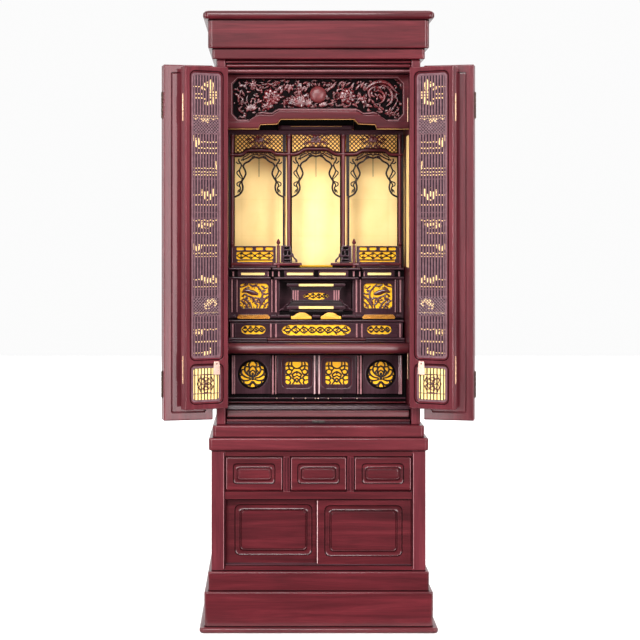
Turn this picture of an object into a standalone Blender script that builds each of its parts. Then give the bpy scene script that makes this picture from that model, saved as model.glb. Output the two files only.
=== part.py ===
"""Household altar cabinet: a floor-standing altar in rosewood lacquer.

A lower cabinet with three drawers over two sliding doors stands on a stepped
plinth. The upper cabinet holds a gilded three-bay shrine behind a carved
transom, and is closed by an inner pair of folding lattice doors and an outer
pair of folding panel doors, which stand open here.

Sizes are in millimetres and are turned into metres by MM. The front face of
the altar posts is the datum of depth: a depth f is measured forward from it,
so what is recessed has a negative f. +X is the viewer's right, +Z is up and
the front faces -Y. The origin is below the middle of the open cabinet's box.
"""

import math

import bmesh
import bpy
from mathutils import Matrix, Vector

MM = 0.001
GAP = 0.3                       # clearance between touching pieces

# heights of the tiers
FOOT_TOP = 14.5
PLINTH_SPLIT = 105.0
PLINTH_TOP = 155.7
BODY_Z0, BODY_Z1 = 156.0, 470.5
WAIST_SPLIT = 504.3
WAIST_TOP = 536.0
ALTAR_Z0, ALTAR_Z1 = 536.3, 1492.7
BAND_TOP = 1520.1
FRIEZE_TOP = 1594.7
TOP = 1618.4

BACK_F = -458.0                 # common back plane
# lower cabinet front
BODY_HALF, BODY_F = 280.0, 12.0
OPEN_HALF = 243.0               # half width between the lower posts
DRAWER_Z0, DRAWER_Z1 = 365.0, 454.0
DOOR_Z0, DOOR_Z1 = 171.0, 341.4
STILE_IN, STILE_OUT = 73.5, 93.5
# altar body
POST_IN, POST_OUT, POST_DEEP = 243.3, 267.5, 30.0
# outer folding doors
OUT_PIN_X, OUT_PIN_F = 269.5, 6.0
OUT_START, OUT_W, OUT_T = 6.5, 130.0, 18.5
OUT_Z0, OUT_Z1 = 550.4, 1476.9
OUT_OPEN = 13.0                 # open leaf, degrees forward of the front plane
# lattice folding doors
LAT_PIN_X, LAT_PIN_F = 246.5, 1.5
LAT_START, LAT_W, LAT_T = 3.5, 119.8, 16.0
LAT_Z0, LAT_Z1 = 583.5, 1469.6
LAT_OPEN = 25.0
FOLD_GAP = 0.75                 # fold pin to the face of each folded leaf
EDGE_GAP = 0.4                  # fold pin to the edge of each leaf
LEAF_BEVEL = 1.5                # on every edge of a leaf

# the foremost point is the hinge-end corner of the front lattice leaf
_a = math.radians(LAT_OPEN)
LAT_FOLD_S = LAT_START + LAT_W + EDGE_GAP
LAT_FOLD_N = LAT_PIN_F + LAT_T + FOLD_GAP
FRONT_F = (LAT_PIN_F + LAT_FOLD_S * math.sin(_a) + LAT_FOLD_N * math.cos(_a)
           - (EDGE_GAP + LEAF_BEVEL) * math.sin(_a)
           + (FOLD_GAP + LAT_T) * math.cos(_a))
MID_F = (FRONT_F + BACK_F) / 2  # depth of the origin


def clear_scene():
    for obj in list(bpy.data.objects):
        bpy.data.objects.remove(obj, do_unlink=True)


clear_scene()
PARTS = bpy.data.collections.new("altar_cabinet")
CUTTERS = bpy.data.collections.new("cutters")
bpy.context.scene.collection.children.link(PARTS)
bpy.context.scene.collection.children.link(CUTTERS)
CUTTERS.hide_render = True


def material(name, colour, roughness, metallic=0.0):
    mat = bpy.data.materials.new(name)
    mat.use_nodes = True
    shader = mat.node_tree.nodes["Principled BSDF"]
    shader.inputs["Base Color"].default_value = (*colour, 1)
    shader.inputs["Roughness"].default_value = roughness
    shader.inputs["Metallic"].default_value = metallic
    mat.diffuse_color = (*colour, 1)
    return mat


ROSEWOOD = (0.17, 0.03, 0.035)
LOOKS = {
    "lacquer": (ROSEWOOD, 0.25, 0.0),
    "interior": ((0.1, 0.022, 0.03), 0.3, 0.0),
    "carving": ((0.2, 0.02, 0.02), 0.35, 0.0),
    "gold": ((0.83, 0.6, 0.2), 0.35, 0.6),
    "hinge": ((0.08, 0.05, 0.04), 0.4, 1.0),
    "tag": ((0.75, 0.45, 0.38), 0.3, 1.0),
}


def place(obj, name, look):
    obj.name = name
    obj.data.name = name
    obj.data.materials.clear()
    obj.data.materials.append(material(name, *LOOKS[look]))
    for collection in list(obj.users_collection):
        collection.objects.unlink(obj)
    PARTS.objects.link(obj)
    return obj


def helper(obj, name="cut"):
    obj.name = name
    for collection in list(obj.users_collection):
        collection.objects.unlink(obj)
    CUTTERS.objects.link(obj)
    obj.hide_render = True
    obj.display_type = "WIRE"
    return obj


def from_bmesh(bm, name="shape"):
    mesh = bpy.data.meshes.new(name)
    bm.normal_update()
    bm.to_mesh(mesh)
    bm.free()
    return bpy.data.objects.new(name, mesh)


def add_box(bm, x0, x1, f0, f1, z0, z1):
    """A box between two sides, two depths and two heights; its vertices."""
    size = Vector((abs(x1 - x0), abs(f1 - f0), abs(z1 - z0))) * MM
    mid = Vector(((x0 + x1) / 2, MID_F - (f0 + f1) / 2, (z0 + z1) / 2)) * MM
    matrix = Matrix.Translation(mid) @ Matrix.Diagonal((*size, 1))
    return bmesh.ops.create_cube(bm, size=1, matrix=matrix)["verts"]


def add_rod(bm, x, f, z0, z1, radius, sides=12, top=None):
    """An upright cylinder or cone."""
    matrix = Matrix.Translation(Vector((x, MID_F - f, (z0 + z1) / 2)) * MM)
    return bmesh.ops.create_cone(
        bm, cap_ends=True, segments=sides, radius1=radius * MM,
        radius2=(radius if top is None else top) * MM,
        depth=(z1 - z0) * MM, matrix=matrix)["verts"]


def add_disc(bm, x, f0, f1, z, radius, sides=24):
    """A disc facing the front, between two depths."""
    matrix = (Matrix.Translation(Vector((x, MID_F - (f0 + f1) / 2, z)) * MM)
              @ Matrix.Rotation(math.pi / 2, 4, "X"))
    return bmesh.ops.create_cone(
        bm, cap_ends=True, segments=sides, radius1=radius * MM,
        radius2=radius * MM, depth=abs(f1 - f0) * MM, matrix=matrix)["verts"]


def bevel(bm, wanted, width, segments, profile=0.5):
    """Rounds the edges whose two ends, in mm as (x, f, z), pass the test."""
    def spot(v):
        return v.co.x / MM, MID_F - v.co.y / MM, v.co.z / MM
    edges = [e for e in bm.edges if wanted(spot(e.verts[0]), spot(e.verts[1]))]
    bmesh.ops.bevel(bm, geom=edges, offset=width * MM, segments=segments,
                    profile=profile, affect="EDGES", clamp_overlap=True)


def near(a, b):
    return abs(a - b) < 0.05


def boolean(obj, tools, operation, self_cross=False):
    for tool in tools if isinstance(tools, list) else [tools]:
        helper(tool)
        m = obj.modifiers.new(operation.lower(), "BOOLEAN")
        m.operation = operation
        m.object = tool
        m.solver = "EXACT"
        m.use_self = self_cross
    return obj


def box(name, look, x0, x1, f0, f1, z0, z1, round_edges=0.0, segments=2):
    bm = bmesh.new()
    add_box(bm, x0, x1, f0, f1, z0, z1)
    if round_edges:
        bevel(bm, lambda a, b: True, round_edges, segments)
    return place(from_bmesh(bm), name, look)


def boxes(name, look, sizes):
    """One piece made of boxes that overlap, joined into one body."""
    first, rest = sizes[0], sizes[1:]
    bm = bmesh.new()
    add_box(bm, *first)
    obj = place(from_bmesh(bm), name, look)
    for size in rest:
        bm = bmesh.new()
        add_box(bm, *size)
        boolean(obj, from_bmesh(bm), "UNION")
    return obj


def tier(name, half, front, z0, z1, corner, edge, segments=3, back=BACK_F,
         bottom_edge=True, look="lacquer"):
    """A moulded slab: round front corners in plan and a rounded front edge."""
    bm = bmesh.new()
    add_box(bm, -half, half, back, front, z0, z1)
    bevel(bm, lambda a, b: near(a[1], front) and near(b[1], front)
          and near(a[0], b[0]), corner, 4)
    heights = [z1, z0] if bottom_edge else [z1]
    for z in heights:
        bevel(bm, lambda a, b: near(a[2], z) and near(b[2], z)
              and max(a[1], b[1]) > back + 1, edge, segments)
    return place(from_bmesh(bm), name, look)


def round_rect(half_x, half_z, radius, steps=4):
    """Outline points of a rectangle with round corners, about its middle."""
    points = []
    for n, (sx, sz) in enumerate(((1, 1), (-1, 1), (-1, -1), (1, -1))):
        for k in range(steps + 1):
            a = math.pi / 2 * (n + k / steps)
            points.append((sx * (half_x - radius) + radius * math.cos(a),
                           sz * (half_z - radius) + radius * math.sin(a)))
    return points


def outline(loops, f0, f1):
    """A flat upright board with the outlines (x, z); later loops are holes."""
    curve = bpy.data.curves.new("outline", "CURVE")
    curve.dimensions = "2D"
    curve.fill_mode = "BOTH"
    curve.extrude = abs(f1 - f0) / 2 * MM
    for loop in loops:
        spline = curve.splines.new("POLY")
        spline.points.add(len(loop) - 1)
        spline.use_cyclic_u = True
        for point, (x, z) in zip(spline.points, loop):
            point.co = (x * MM, z * MM, 0, 1)
    obj = bpy.data.objects.new("outline", curve)
    bpy.context.scene.collection.objects.link(obj)
    obj.matrix_world = (Matrix.Translation((0, (MID_F - (f0 + f1) / 2) * MM, 0))
                        @ Matrix.Rotation(math.pi / 2, 4, "X"))
    bpy.context.view_layer.update()
    graph = bpy.context.evaluated_depsgraph_get()
    mesh = bpy.data.meshes.new_from_object(obj.evaluated_get(graph))
    mesh.transform(obj.matrix_world)
    bpy.data.objects.remove(obj)
    bm = bmesh.new()
    bm.from_mesh(mesh)
    bmesh.ops.remove_doubles(bm, verts=bm.verts, dist=1e-6)
    bmesh.ops.recalc_face_normals(bm, faces=bm.faces)
    bm.to_mesh(mesh)
    bm.free()
    return bpy.data.objects.new("outline", mesh)


def pad(x, z, half_x, half_z, radius, f0, f1, steps=2):
    """A round-cornered block facing the front."""
    return outline([[(x + px, z + pz)
                     for px, pz in round_rect(half_x, half_z, radius, steps)]],
                   f0, f1)


def mirrored(points):
    """A half outline given on the right, with its left half added."""
    return points + [(-x, z) for x, z in reversed(points)]


# ---------------------------------------------------------------- base tiers
tier("foot", 310.5, 42, 0, FOOT_TOP, 12, 6.5, 3)
tier("plinth_lower", 298.5, 30, FOOT_TOP + GAP, PLINTH_SPLIT, 11, 3, 2)
tier("plinth_upper", 289, 20, PLINTH_SPLIT + GAP, PLINTH_TOP, 9, 3, 2)

# ------------------------------------------------------------- lower cabinet
SHELL_F = -30.0                 # back face of the front frame
frame = outline([
    [(-BODY_HALF, BODY_Z0), (BODY_HALF, BODY_Z0),
     (BODY_HALF, BODY_Z1), (-BODY_HALF, BODY_Z1)],
    [(-OPEN_HALF, DOOR_Z0), (-OPEN_HALF, DOOR_Z1),
     (OPEN_HALF, DOOR_Z1), (OPEN_HALF, DOOR_Z0)],
    [(-OPEN_HALF, DRAWER_Z0), (-OPEN_HALF, DRAWER_Z1),
     (-STILE_OUT, DRAWER_Z1), (-STILE_OUT, DRAWER_Z0)],
    [(-STILE_IN, DRAWER_Z0), (-STILE_IN, DRAWER_Z1),
     (STILE_IN, DRAWER_Z1), (STILE_IN, DRAWER_Z0)],
    [(STILE_OUT, DRAWER_Z0), (STILE_OUT, DRAWER_Z1),
     (OPEN_HALF, DRAWER_Z1), (OPEN_HALF, DRAWER_Z0)],
], SHELL_F, BODY_F)
place(frame, "lower_front_frame", "lacquer")
for side, s in (("left", -1), ("right", 1)):
    box("lower_side_" + side, "lacquer", s * 265, s * 280,
        -445.7, SHELL_F - GAP, BODY_Z0, BODY_Z1)
box("lower_back", "lacquer", -280, 280, BACK_F, -446, BODY_Z0, BODY_Z1)
box("lower_floor", "lacquer", -264.7, 264.7, -445.7, SHELL_F - GAP,
    BODY_Z0, 170)
box("lower_shelf", "lacquer", -264.7, 264.7, -445.7, SHELL_F - GAP, 352, 364.4)

# drawers: a bevelled front with a sunk ring, and a box open at the top
DRAWER_FRONT_F = 10.0
for name, x0, x1 in (("left", -OPEN_HALF, -STILE_OUT),
                     ("center", -STILE_IN, STILE_IN),
                     ("right", STILE_OUT, OPEN_HALF)):
    a, b = x0 + 1, x1 - 1
    mid, half = (a + b) / 2, (b - a) / 2
    bm = bmesh.new()
    add_box(bm, a, b, -8, DRAWER_FRONT_F, DRAWER_Z0 + 0.8, DRAWER_Z1 - 0.8)
    bevel(bm, lambda p, q: near(p[1], DRAWER_FRONT_F)
          and near(q[1], DRAWER_FRONT_F), 3.5, 1)
    drawer = place(from_bmesh(bm), "drawer_" + name, "lacquer")
    z = (DRAWER_Z0 + DRAWER_Z1) / 2
    boolean(drawer, pad(mid, z, 53, 26, 9, DRAWER_FRONT_F - 3.5,
                        DRAWER_FRONT_F + 5), "DIFFERENCE")
    boolean(drawer, pad(mid, z, 40, 13, 6, DRAWER_FRONT_F - 6,
                        DRAWER_FRONT_F - 0.5), "UNION")
    bm = bmesh.new()
    add_box(bm, a + 2, b - 2, -390, -6, DRAWER_Z0 + 2, DRAWER_Z1 - 12)
    boolean(drawer, from_bmesh(bm), "UNION")
    bm = bmesh.new()
    add_box(bm, a + 10, b - 10, -382, -12, DRAWER_Z0 + 9, DRAWER_Z1 + 20)
    boolean(drawer, from_bmesh(bm), "DIFFERENCE")

# sliding doors: the right one runs in front of the left one
for name, x0, x1, f in (("left", -OPEN_HALF + 0.5, 4, -10),
                        ("right", -4, OPEN_HALF - 0.5, 5)):
    bm = bmesh.new()
    add_box(bm, x0, x1, f - 13, f, DOOR_Z0 + 0.6, DOOR_Z1 - 0.6)
    door = place(from_bmesh(bm), "sliding_door_" + name, "lacquer")
    mid, half = (x0 + x1) / 2, (x1 - x0) / 2
    z, half_z = (DOOR_Z0 + DOOR_Z1) / 2, (DOOR_Z1 - DOOR_Z0) / 2
    boolean(door, pad(mid, z, half - 21, half_z - 13, 14, f - 3.5, f + 4),
            "DIFFERENCE")
    boolean(door, pad(mid, z, half - 33, half_z - 25, 10, f - 6, f - 1.2),
            "UNION")

# -------------------------------------------------------------------- waist
tier("waist_lower", 287, 22, BODY_Z1 + GAP, WAIST_SPLIT, 9, 3, 2)
tier("waist_upper", 277, 12, WAIST_SPLIT + GAP, WAIST_TOP, 9, 3.5, 2)

# --------------------------------------------------------------- altar body
for side, s in (("left", -1), ("right", 1)):
    bm = bmesh.new()
    add_box(bm, s * POST_IN, s * POST_OUT, -POST_DEEP, 0, ALTAR_Z0, ALTAR_Z1)
    bevel(bm, lambda a, b: near(a[1], 0) and near(b[1], 0)
          and near(a[0], b[0]), 2.5, 2)
    place(from_bmesh(bm), "altar_post_" + side, "lacquer")
    box("altar_side_" + side, "lacquer", s * POST_IN, s * 262,
        -443.7, -POST_DEEP - GAP, ALTAR_Z0, ALTAR_Z1)
box("altar_back", "lacquer", -262, 262, -456, -444, ALTAR_Z0, ALTAR_Z1)
box("altar_ceiling", "interior", -243, 243, -443.7, -40.3, 1476, ALTAR_Z1)
boxes("altar_top_rails", "lacquer", [
    (-243, 243, -40, -20, 1460, 1491), (-243, 243, -25, -2, 1484, 1490.5),
    (-243, 243, -25, -6, 1473.2, 1482), (-243, 243, -25, -19, 1462, 1470)])

# ------------------------------------------------------------------- cornice
tier("cornice_band", 278, 15, ALTAR_Z1 + GAP, BAND_TOP, 7, 2, 2)
tier("cornice_frieze", 288.5, 25, BAND_TOP + GAP, FRIEZE_TOP, 12, 2.5, 2)
tier("cornice_crown", 301.5, 35, FRIEZE_TOP + GAP, TOP, 14, 11, 5)

# ------------------------------------------------------------------- transom
TR_F, TR_T = -60.0, 12.0
TR_Z1 = 1459.7
lower_edge = [(243, 1316.5), (156, 1316.5), (150, 1326), (143, 1328.5),
              (105, 1328.5), (97, 1341.8)]
field_edge = [(224, 1437), (214, 1448), ]
field_low = [(224, 1353), (214, 1342.8), (178, 1342.8), (164, 1355),
             (150, 1357.7), (124, 1357.7), (112, 1367), (99, 1369.4)]
board = [(-243, TR_Z1), (243, TR_Z1)] + lower_edge \
    + [(-x, z) for x, z in reversed(lower_edge)]
field = field_edge[::-1] + field_low \
    + [(-x, z) for x, z in reversed(field_low)] \
    + [(-224, 1437), (-214, 1448)]
transom = place(outline([board, field], TR_F - TR_T, TR_F), "transom",
                "carving")


def leaf(bm, x, z, length, width, angle, f0, f1):
    """A pointed leaf as a flattened six-sided spindle."""
    matrix = (Matrix.Translation(Vector((x, MID_F - (f0 + f1) / 2, z)) * MM)
              @ Matrix.Rotation(-angle, 4, "Y")
              @ Matrix.Diagonal((length / 2 * MM, (f1 - f0) / 2 * MM,
                                 width / 2 * MM, 1)))
    bmesh.ops.create_uvsphere(bm, u_segments=6, v_segments=3, radius=1,
                              matrix=matrix)


# the carving: a stem that waves along the field, leaves and blossoms on it,
# and the jewel in the middle
def wave(x):
    rise = 12 * math.exp(-(x / 90) ** 2)
    return 1396 + rise + 13 * math.sin(abs(x) / 30.0 + 0.8)


shapes = []
for s in (-1, 1):
    for k in range(4):
        x = s * (42 + k * 46.0)
        bm = bmesh.new()
        leaf(bm, x, wave(x), 52, 11, 0.35 * math.sin(k * 1.7) * s,
             TR_F - 9.5, TR_F - 2)
        shapes.append(from_bmesh(bm))
    for k in range(4):
        x = s * (50 + k * 44.0)
        up = 1 if k % 2 else -1
        bm = bmesh.new()
        leaf(bm, x, 1403 + up * 17, 48, 17, up * 0.8 * s, TR_F - 9.7, TR_F - 1)
        shapes.append(from_bmesh(bm))
for x, z, r in ((-150, 1400, 17), (-62, 1412, 15), (88, 1403, 16),
                (165, 1398, 19)):
    bm = bmesh.new()
    bmesh.ops.create_uvsphere(
        bm, u_segments=8, v_segments=5, radius=1,
        matrix=Matrix.Translation(Vector((x, MID_F - TR_F + 4.3, z)) * MM)
        @ Matrix.Diagonal((r * MM, 6.5 * MM, r * MM, 1)))
    shapes.append(from_bmesh(bm))
bm = bmesh.new()
bmesh.ops.create_uvsphere(
    bm, u_segments=14, v_segments=7, radius=1,
    matrix=Matrix.Translation(Vector((1, MID_F - TR_F + 4, 1408)) * MM)
    @ Matrix.Diagonal((22 * MM, 9 * MM, 22 * MM, 1)))
shapes.append(from_bmesh(bm))
# a thin back sheet carries the carving, as the shadowed ground of the relief
bm = bmesh.new()
add_box(bm, -232, 232, TR_F - 9, TR_F - 6.5, 1345, 1455)
boolean(transom, from_bmesh(bm), "UNION")
for tool in shapes:
    boolean(transom, tool, "UNION")

# ------------------------------------------------------------- shrine arcade
AR_F = -200.0
BAY = [(-223.0, -91.6), (-65.7, 65.7), (91.6, 223.0)]
FLOOR_Z = 943.6


def bay_outline(x0, x1):
    """An opening under a cusped bracket arch."""
    half = (x1 - x0) / 2
    mid = (x0 + x1) / 2
    right = [(half, 948.4), (half, 1141.5), (half - 21, 1157.7),
             (half - 22.8, 1187), (half - 31, 1203.4), (half - 26, 1225.4),
             (half - 41, 1236.4), (half - 56, 1242)]
    return [(mid + x, z) for x, z in right] \
        + [(mid - x, z) for x, z in reversed(right)]


holes = [bay_outline(*bay) for bay in BAY]
holes += [[(a + 4, 1270), (a + 4, 1307), (b - 4, 1307), (b - 4, 1270)]
          for a, b in BAY]
arcade = place(outline([[(-241, FLOOR_Z), (241, FLOOR_Z), (241, 1321.3),
                         (-241, 1321.3)]] + holes, AR_F - 10, AR_F - 2),
               "arcade", "interior")
for x, r in ((-230, 5), (-74.6, 5.5), (74.6, 5.5), (230, 5)):
    bm = bmesh.new()
    add_rod(bm, x, AR_F - 2, FLOOR_Z, 1321.3, r, 8)
    boolean(arcade, from_bmesh(bm), "UNION")
for a, b in BAY:
    half, mid = (b - a) / 2 + 3, (a + b) / 2
    cloud = [(half, 1254), (half, 1264), (half - 22, 1264), (half - 40, 1276),
             (0, 1276)]
    cloud_low = [(0, 1265.5), (half - 38, 1265.5), (half - 20, 1254)]
    right = [(mid + x, z) for x, z in cloud[:-1]]
    left = [(mid - x, z) for x, z in reversed(cloud[:-1])]
    low = [(mid - x, z) for x, z in reversed(cloud_low[1:])] \
        + [(mid + x, z) for x, z in cloud_low[1:]]
    boolean(arcade, outline([right + left + low], AR_F - 8.6, AR_F + 3), "UNION")
for a, b in BAY:
    # a flower boss on a bar fills each upper lattice
    bm = bmesh.new()
    add_disc(bm, (a + b) / 2, AR_F - 8.1, AR_F + 0.4, 1288.5, 22.3, 8)
    boolean(arcade, from_bmesh(bm), "UNION")
tier("shrine_canopy", 104, -178, 1321.7, 1334.1, 5, 2, 1, back=-292,
     look="interior")
box("gold_back_panel", "gold", -241, 241, -308, -300, FLOOR_Z, 1459)

# ---------------------------------------------------------------- balustrade
for side, s in (("left", -1), ("right", 1)):
    rail_f = -186.0
    bars = [(s * 99, s * 236, rail_f - 9, rail_f, 949.4, 959)]
    bars += [(s * 99, s * 236, rail_f - 8, rail_f - 1, z, z + h)
             for z, h in ((963, 4), (987, 4), (999, 4))]
    for k in range(2):
        x = 144 + k * 45.0
        bars.append((s * (x - 1.5), s * (x + 1.5), rail_f - 6, rail_f - 3,
                     950, 1001))
    rail = boxes("balustrade_" + side, "interior", bars)
    for x, tip in ((103.7, 1022.9), (231, 1018)):
        bm = bmesh.new()
        add_rod(bm, s * x, rail_f - 4.5, 951, 1009, 4.4, 6)
        boolean(rail, from_bmesh(bm), "UNION")
        bm = bmesh.new()
        add_rod(bm, s * x, rail_f - 4.5, 1007, tip, 5.8, 6, 0.8)
        boolean(rail, from_bmesh(bm), "UNION")

# ---------------------------------------------------------------------- dais
boxes("dais_top", "interior", [
    (-241, 241, -299, -184, 934.8, 943.2),
    (-121, 121, -250, -170, 934.8, 943.2),
    (-236, 236, -299, -194, 916, 936),
    (-112, 112, -250, -180, 916, 936),
    (-241, 241, -299, -186, 911.5, 917.8),
    (-121, 121, -250, -173, 911.5, 917.8)])
body = boxes("dais_body", "interior", [
    (-241, 241, -299, -202, 803, 911.1),
    (-105, -98, -250, -190, 803, 911.1), (98, 105, -250, -190, 803, 911.1),
    (-241, 241, -299, -190, 793.2, 803.5)])
bm = bmesh.new()
add_box(bm, -98, 98, -262, -150, 821, 920)
boolean(body, from_bmesh(bm), "DIFFERENCE")
for s in (-1, 1):
    bm = bmesh.new()
    add_box(bm, s * 125, s * 208, -206, -180, 831, 903)
    boolean(body, from_bmesh(bm), "DIFFERENCE")
base = boxes("dais_base", "interior", [
    (-241, 241, -299, -168, 739.4, 751.8),
    (-134, 134, -250, -152, 739.4, 751.8),
    (-236, 236, -299, -176, 751, 792.9)])
for x0, x1 in ((-208, -138), (-98, 98), (138, 208)):
    bm = bmesh.new()
    add_box(bm, x0, x1, -182, -150, 757, 787)
    boolean(base, from_bmesh(bm), "DIFFERENCE")
table = boxes("pedestal_table", "interior", [
    (-80, 80, -250, -194, 889.8, 899.4), (-66, 66, -244, -200, 845, 890),
    (-72, 72, -247, -197, 836.5, 846), (-80, 80, -250, -194, 827.6, 837.5),
    (-74, 74, -248, -196, 821.4, 828)])

# ------------------------------------------- altar deck and lower inner rows
box("altar_deck", "interior", -243, 243, -443.7, -54.3, 718.6, 739)
bm = bmesh.new()
add_box(bm, -242, 242, -54, -28, 718.6, 746.3)
bevel(bm, lambda a, b: near(a[1], -28) and near(b[1], -28)
      and not near(a[0], b[0]), 13.5, 5)
bowed = place(from_bmesh(bm), "bowed_rail", "lacquer")
row = place(outline([
    [(-241.5, 536.6), (241.5, 536.6), (241.5, 718.2), (-241.5, 718.2)]],
    -144, -130), "lower_row_panels", "interior")
bm = bmesh.new()
for x0, x1 in ((-231, -124), (124, 231), (-107, -5), (5, 107)):
    add_box(bm, x0, x1, -134, -120, 608, 703)
boolean(row, from_bmesh(bm), "DIFFERENCE")
bm = bmesh.new()
add_box(bm, -236, 236, -138, -120, 588, 601)
boolean(row, from_bmesh(bm), "DIFFERENCE")
for x in (-173.3, 173.3):
    bm = bmesh.new()
    add_disc(bm, x, -137, -127, 655.3, 38.5, 20)
    boolean(row, from_bmesh(bm), "UNION")
for x in (-56, 56):
    boolean(row, pad(x, 654.5, 42, 42, 9, -138, -131.5), "UNION")
    boolean(row, pad(x, 654.5, 34, 34, 7, -136.5, -120), "DIFFERENCE")
box("altar_sill", "interior", -243, 243, -60, -24, 573.7, 583, 1.2, 1)
box("front_rail", "lacquer", -240, 240, -36, -20, 550.5, 571.3, 2.0, 1)
box("thin_rail", "lacquer", -241, 241, -36, -10, 536.6, 549, 1.5, 1)


# --------------------------------------------------------------------- doors
def leaf_matrix(side, pin_x, pin_f, opening):
    """World matrix of a leaf's frame when the leaf is open.

    In the leaf's frame the pin is the origin, +X runs from the pin along the
    closed leaf towards the middle of the cabinet, and +Y is the depth behind
    the pin, both as for the left side. The right side mirrors it."""
    turn = Matrix.Rotation(-math.radians(180 - opening) * side, 4, "Z")
    return Matrix.Translation(Vector((-side * pin_x, MID_F - pin_f, 0)) * MM) \
        @ turn


def door_leaf(name, look, side, matrix, s0, s1, n0, n1, z0, z1, shape):
    """A leaf in its own frame: along the leaf s, behind the pin n."""
    bm = bmesh.new()
    a, b = sorted((side * s0, side * s1))
    mid = Vector(((a + b) / 2, (n0 + n1) / 2, (z0 + z1) / 2)) * MM
    size = Vector((b - a, abs(n1 - n0), z1 - z0)) * MM
    bmesh.ops.create_cube(bm, size=1, matrix=Matrix.Translation(mid)
                          @ Matrix.Diagonal((*size, 1)))
    bmesh.ops.bevel(bm, geom=list(bm.edges), offset=LEAF_BEVEL * MM, segments=1,
                    profile=0.5, affect="EDGES")
    obj = place(from_bmesh(bm), name, look)
    obj.matrix_world = matrix
    for kind, tools in shape(side, s0, s1, n0, n1, z0, z1):
        for tool in tools:
            tool.matrix_world = matrix
            boolean(obj, tool, kind)
    return obj


def local_box(side, s0, s1, n0, n1, z0, z1, round_by=0.0):
    bm = bmesh.new()
    a, b = sorted((side * s0, side * s1))
    n0, n1 = sorted((n0, n1))
    mid = Vector(((a + b) / 2, (n0 + n1) / 2, (z0 + z1) / 2)) * MM
    size = Vector((b - a, n1 - n0, z1 - z0)) * MM
    bmesh.ops.create_cube(bm, size=1, matrix=Matrix.Translation(mid)
                          @ Matrix.Diagonal((*size, 1)))
    if round_by:
        edges = [e for e in bm.edges
                 if abs(e.verts[0].co.y - e.verts[1].co.y) > 1e-6]
        bmesh.ops.bevel(bm, geom=edges, offset=round_by * MM, segments=3,
                        profile=0.5, affect="EDGES")
    return from_bmesh(bm)


def pin_notches(side, s, n, z0, z1):
    """Round seats for the two fold hinges of a leaf."""
    tools = []
    for z in HINGE_Z:
        bm = bmesh.new()
        bmesh.ops.create_cone(
            bm, cap_ends=True, segments=12, radius1=4.2 * MM,
            radius2=4.2 * MM, depth=73 * MM,
            matrix=Matrix.Translation(Vector((side * s, n, z)) * MM))
        tools.append(from_bmesh(bm))
    return tools


HINGE_Z = (644.0, 1372.0)       # middles of the lower and upper hinges
OUT_FOLD_S = OUT_START + OUT_W + EDGE_GAP
OUT_FOLD_N = -(OUT_T + FOLD_GAP)


def panel_shape(notch_s, notch_n):
    """Both faces of an outer leaf have a sunk panel within the frame."""
    def shape(side, s0, s1, n0, n1, z0, z1):
        cuts = []
        for face, way in ((n0, 1), (n1, -1)):
            inward = 4.5 if n0 < n1 else -4.5
            cuts.append(local_box(side, s0 + 20, s1 - 20, face - way * inward
                                  * 1.5, face + way * inward, z0 + 22, z1 - 22,
                                  4))
        yield "DIFFERENCE", cuts
        yield "DIFFERENCE", pin_notches(side, notch_s, notch_n, z0, z1)
    return shape


def lattice_shape(side, s0, s1, n0, n1, z0, z1):
    """A frame with a mid rail round two grilles of upright bars."""
    low, mid, high = z0 + 14, z0 + 121.5, z1 - 12.5
    yield "DIFFERENCE", [
        local_box(side, s0 + 17, s1 - 17, face - way * 6, face + way * 5, a, b,
                  7)
        for face, way in ((n0, 1), (n1, -1))
        for a, b in ((low, mid - 5.5), (mid + 5.5, high))]
    bm = bmesh.new()
    wide = (s1 - s0 - 44) / 3
    rows = ((low + 8, mid - 13), (mid + 13, mid + 165),
            (mid + 218, high - 183), (high - 128, high - 10))
    for a, b in rows:
        for k in range(3):
            x0 = s0 + 22 + k * wide + 1.8
            x1 = x0 + wide - 3.6
            p, q = sorted((side * x0, side * x1))
            centre = Vector(((p + q) / 2, (n0 + n1) / 2, (a + b) / 2)) * MM
            size = Vector((q - p, 30, b - a)) * MM
            bmesh.ops.create_cube(bm, size=1,
                                  matrix=Matrix.Translation(centre)
                                  @ Matrix.Diagonal((*size, 1)))
    yield "DIFFERENCE", [from_bmesh(bm)]


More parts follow.
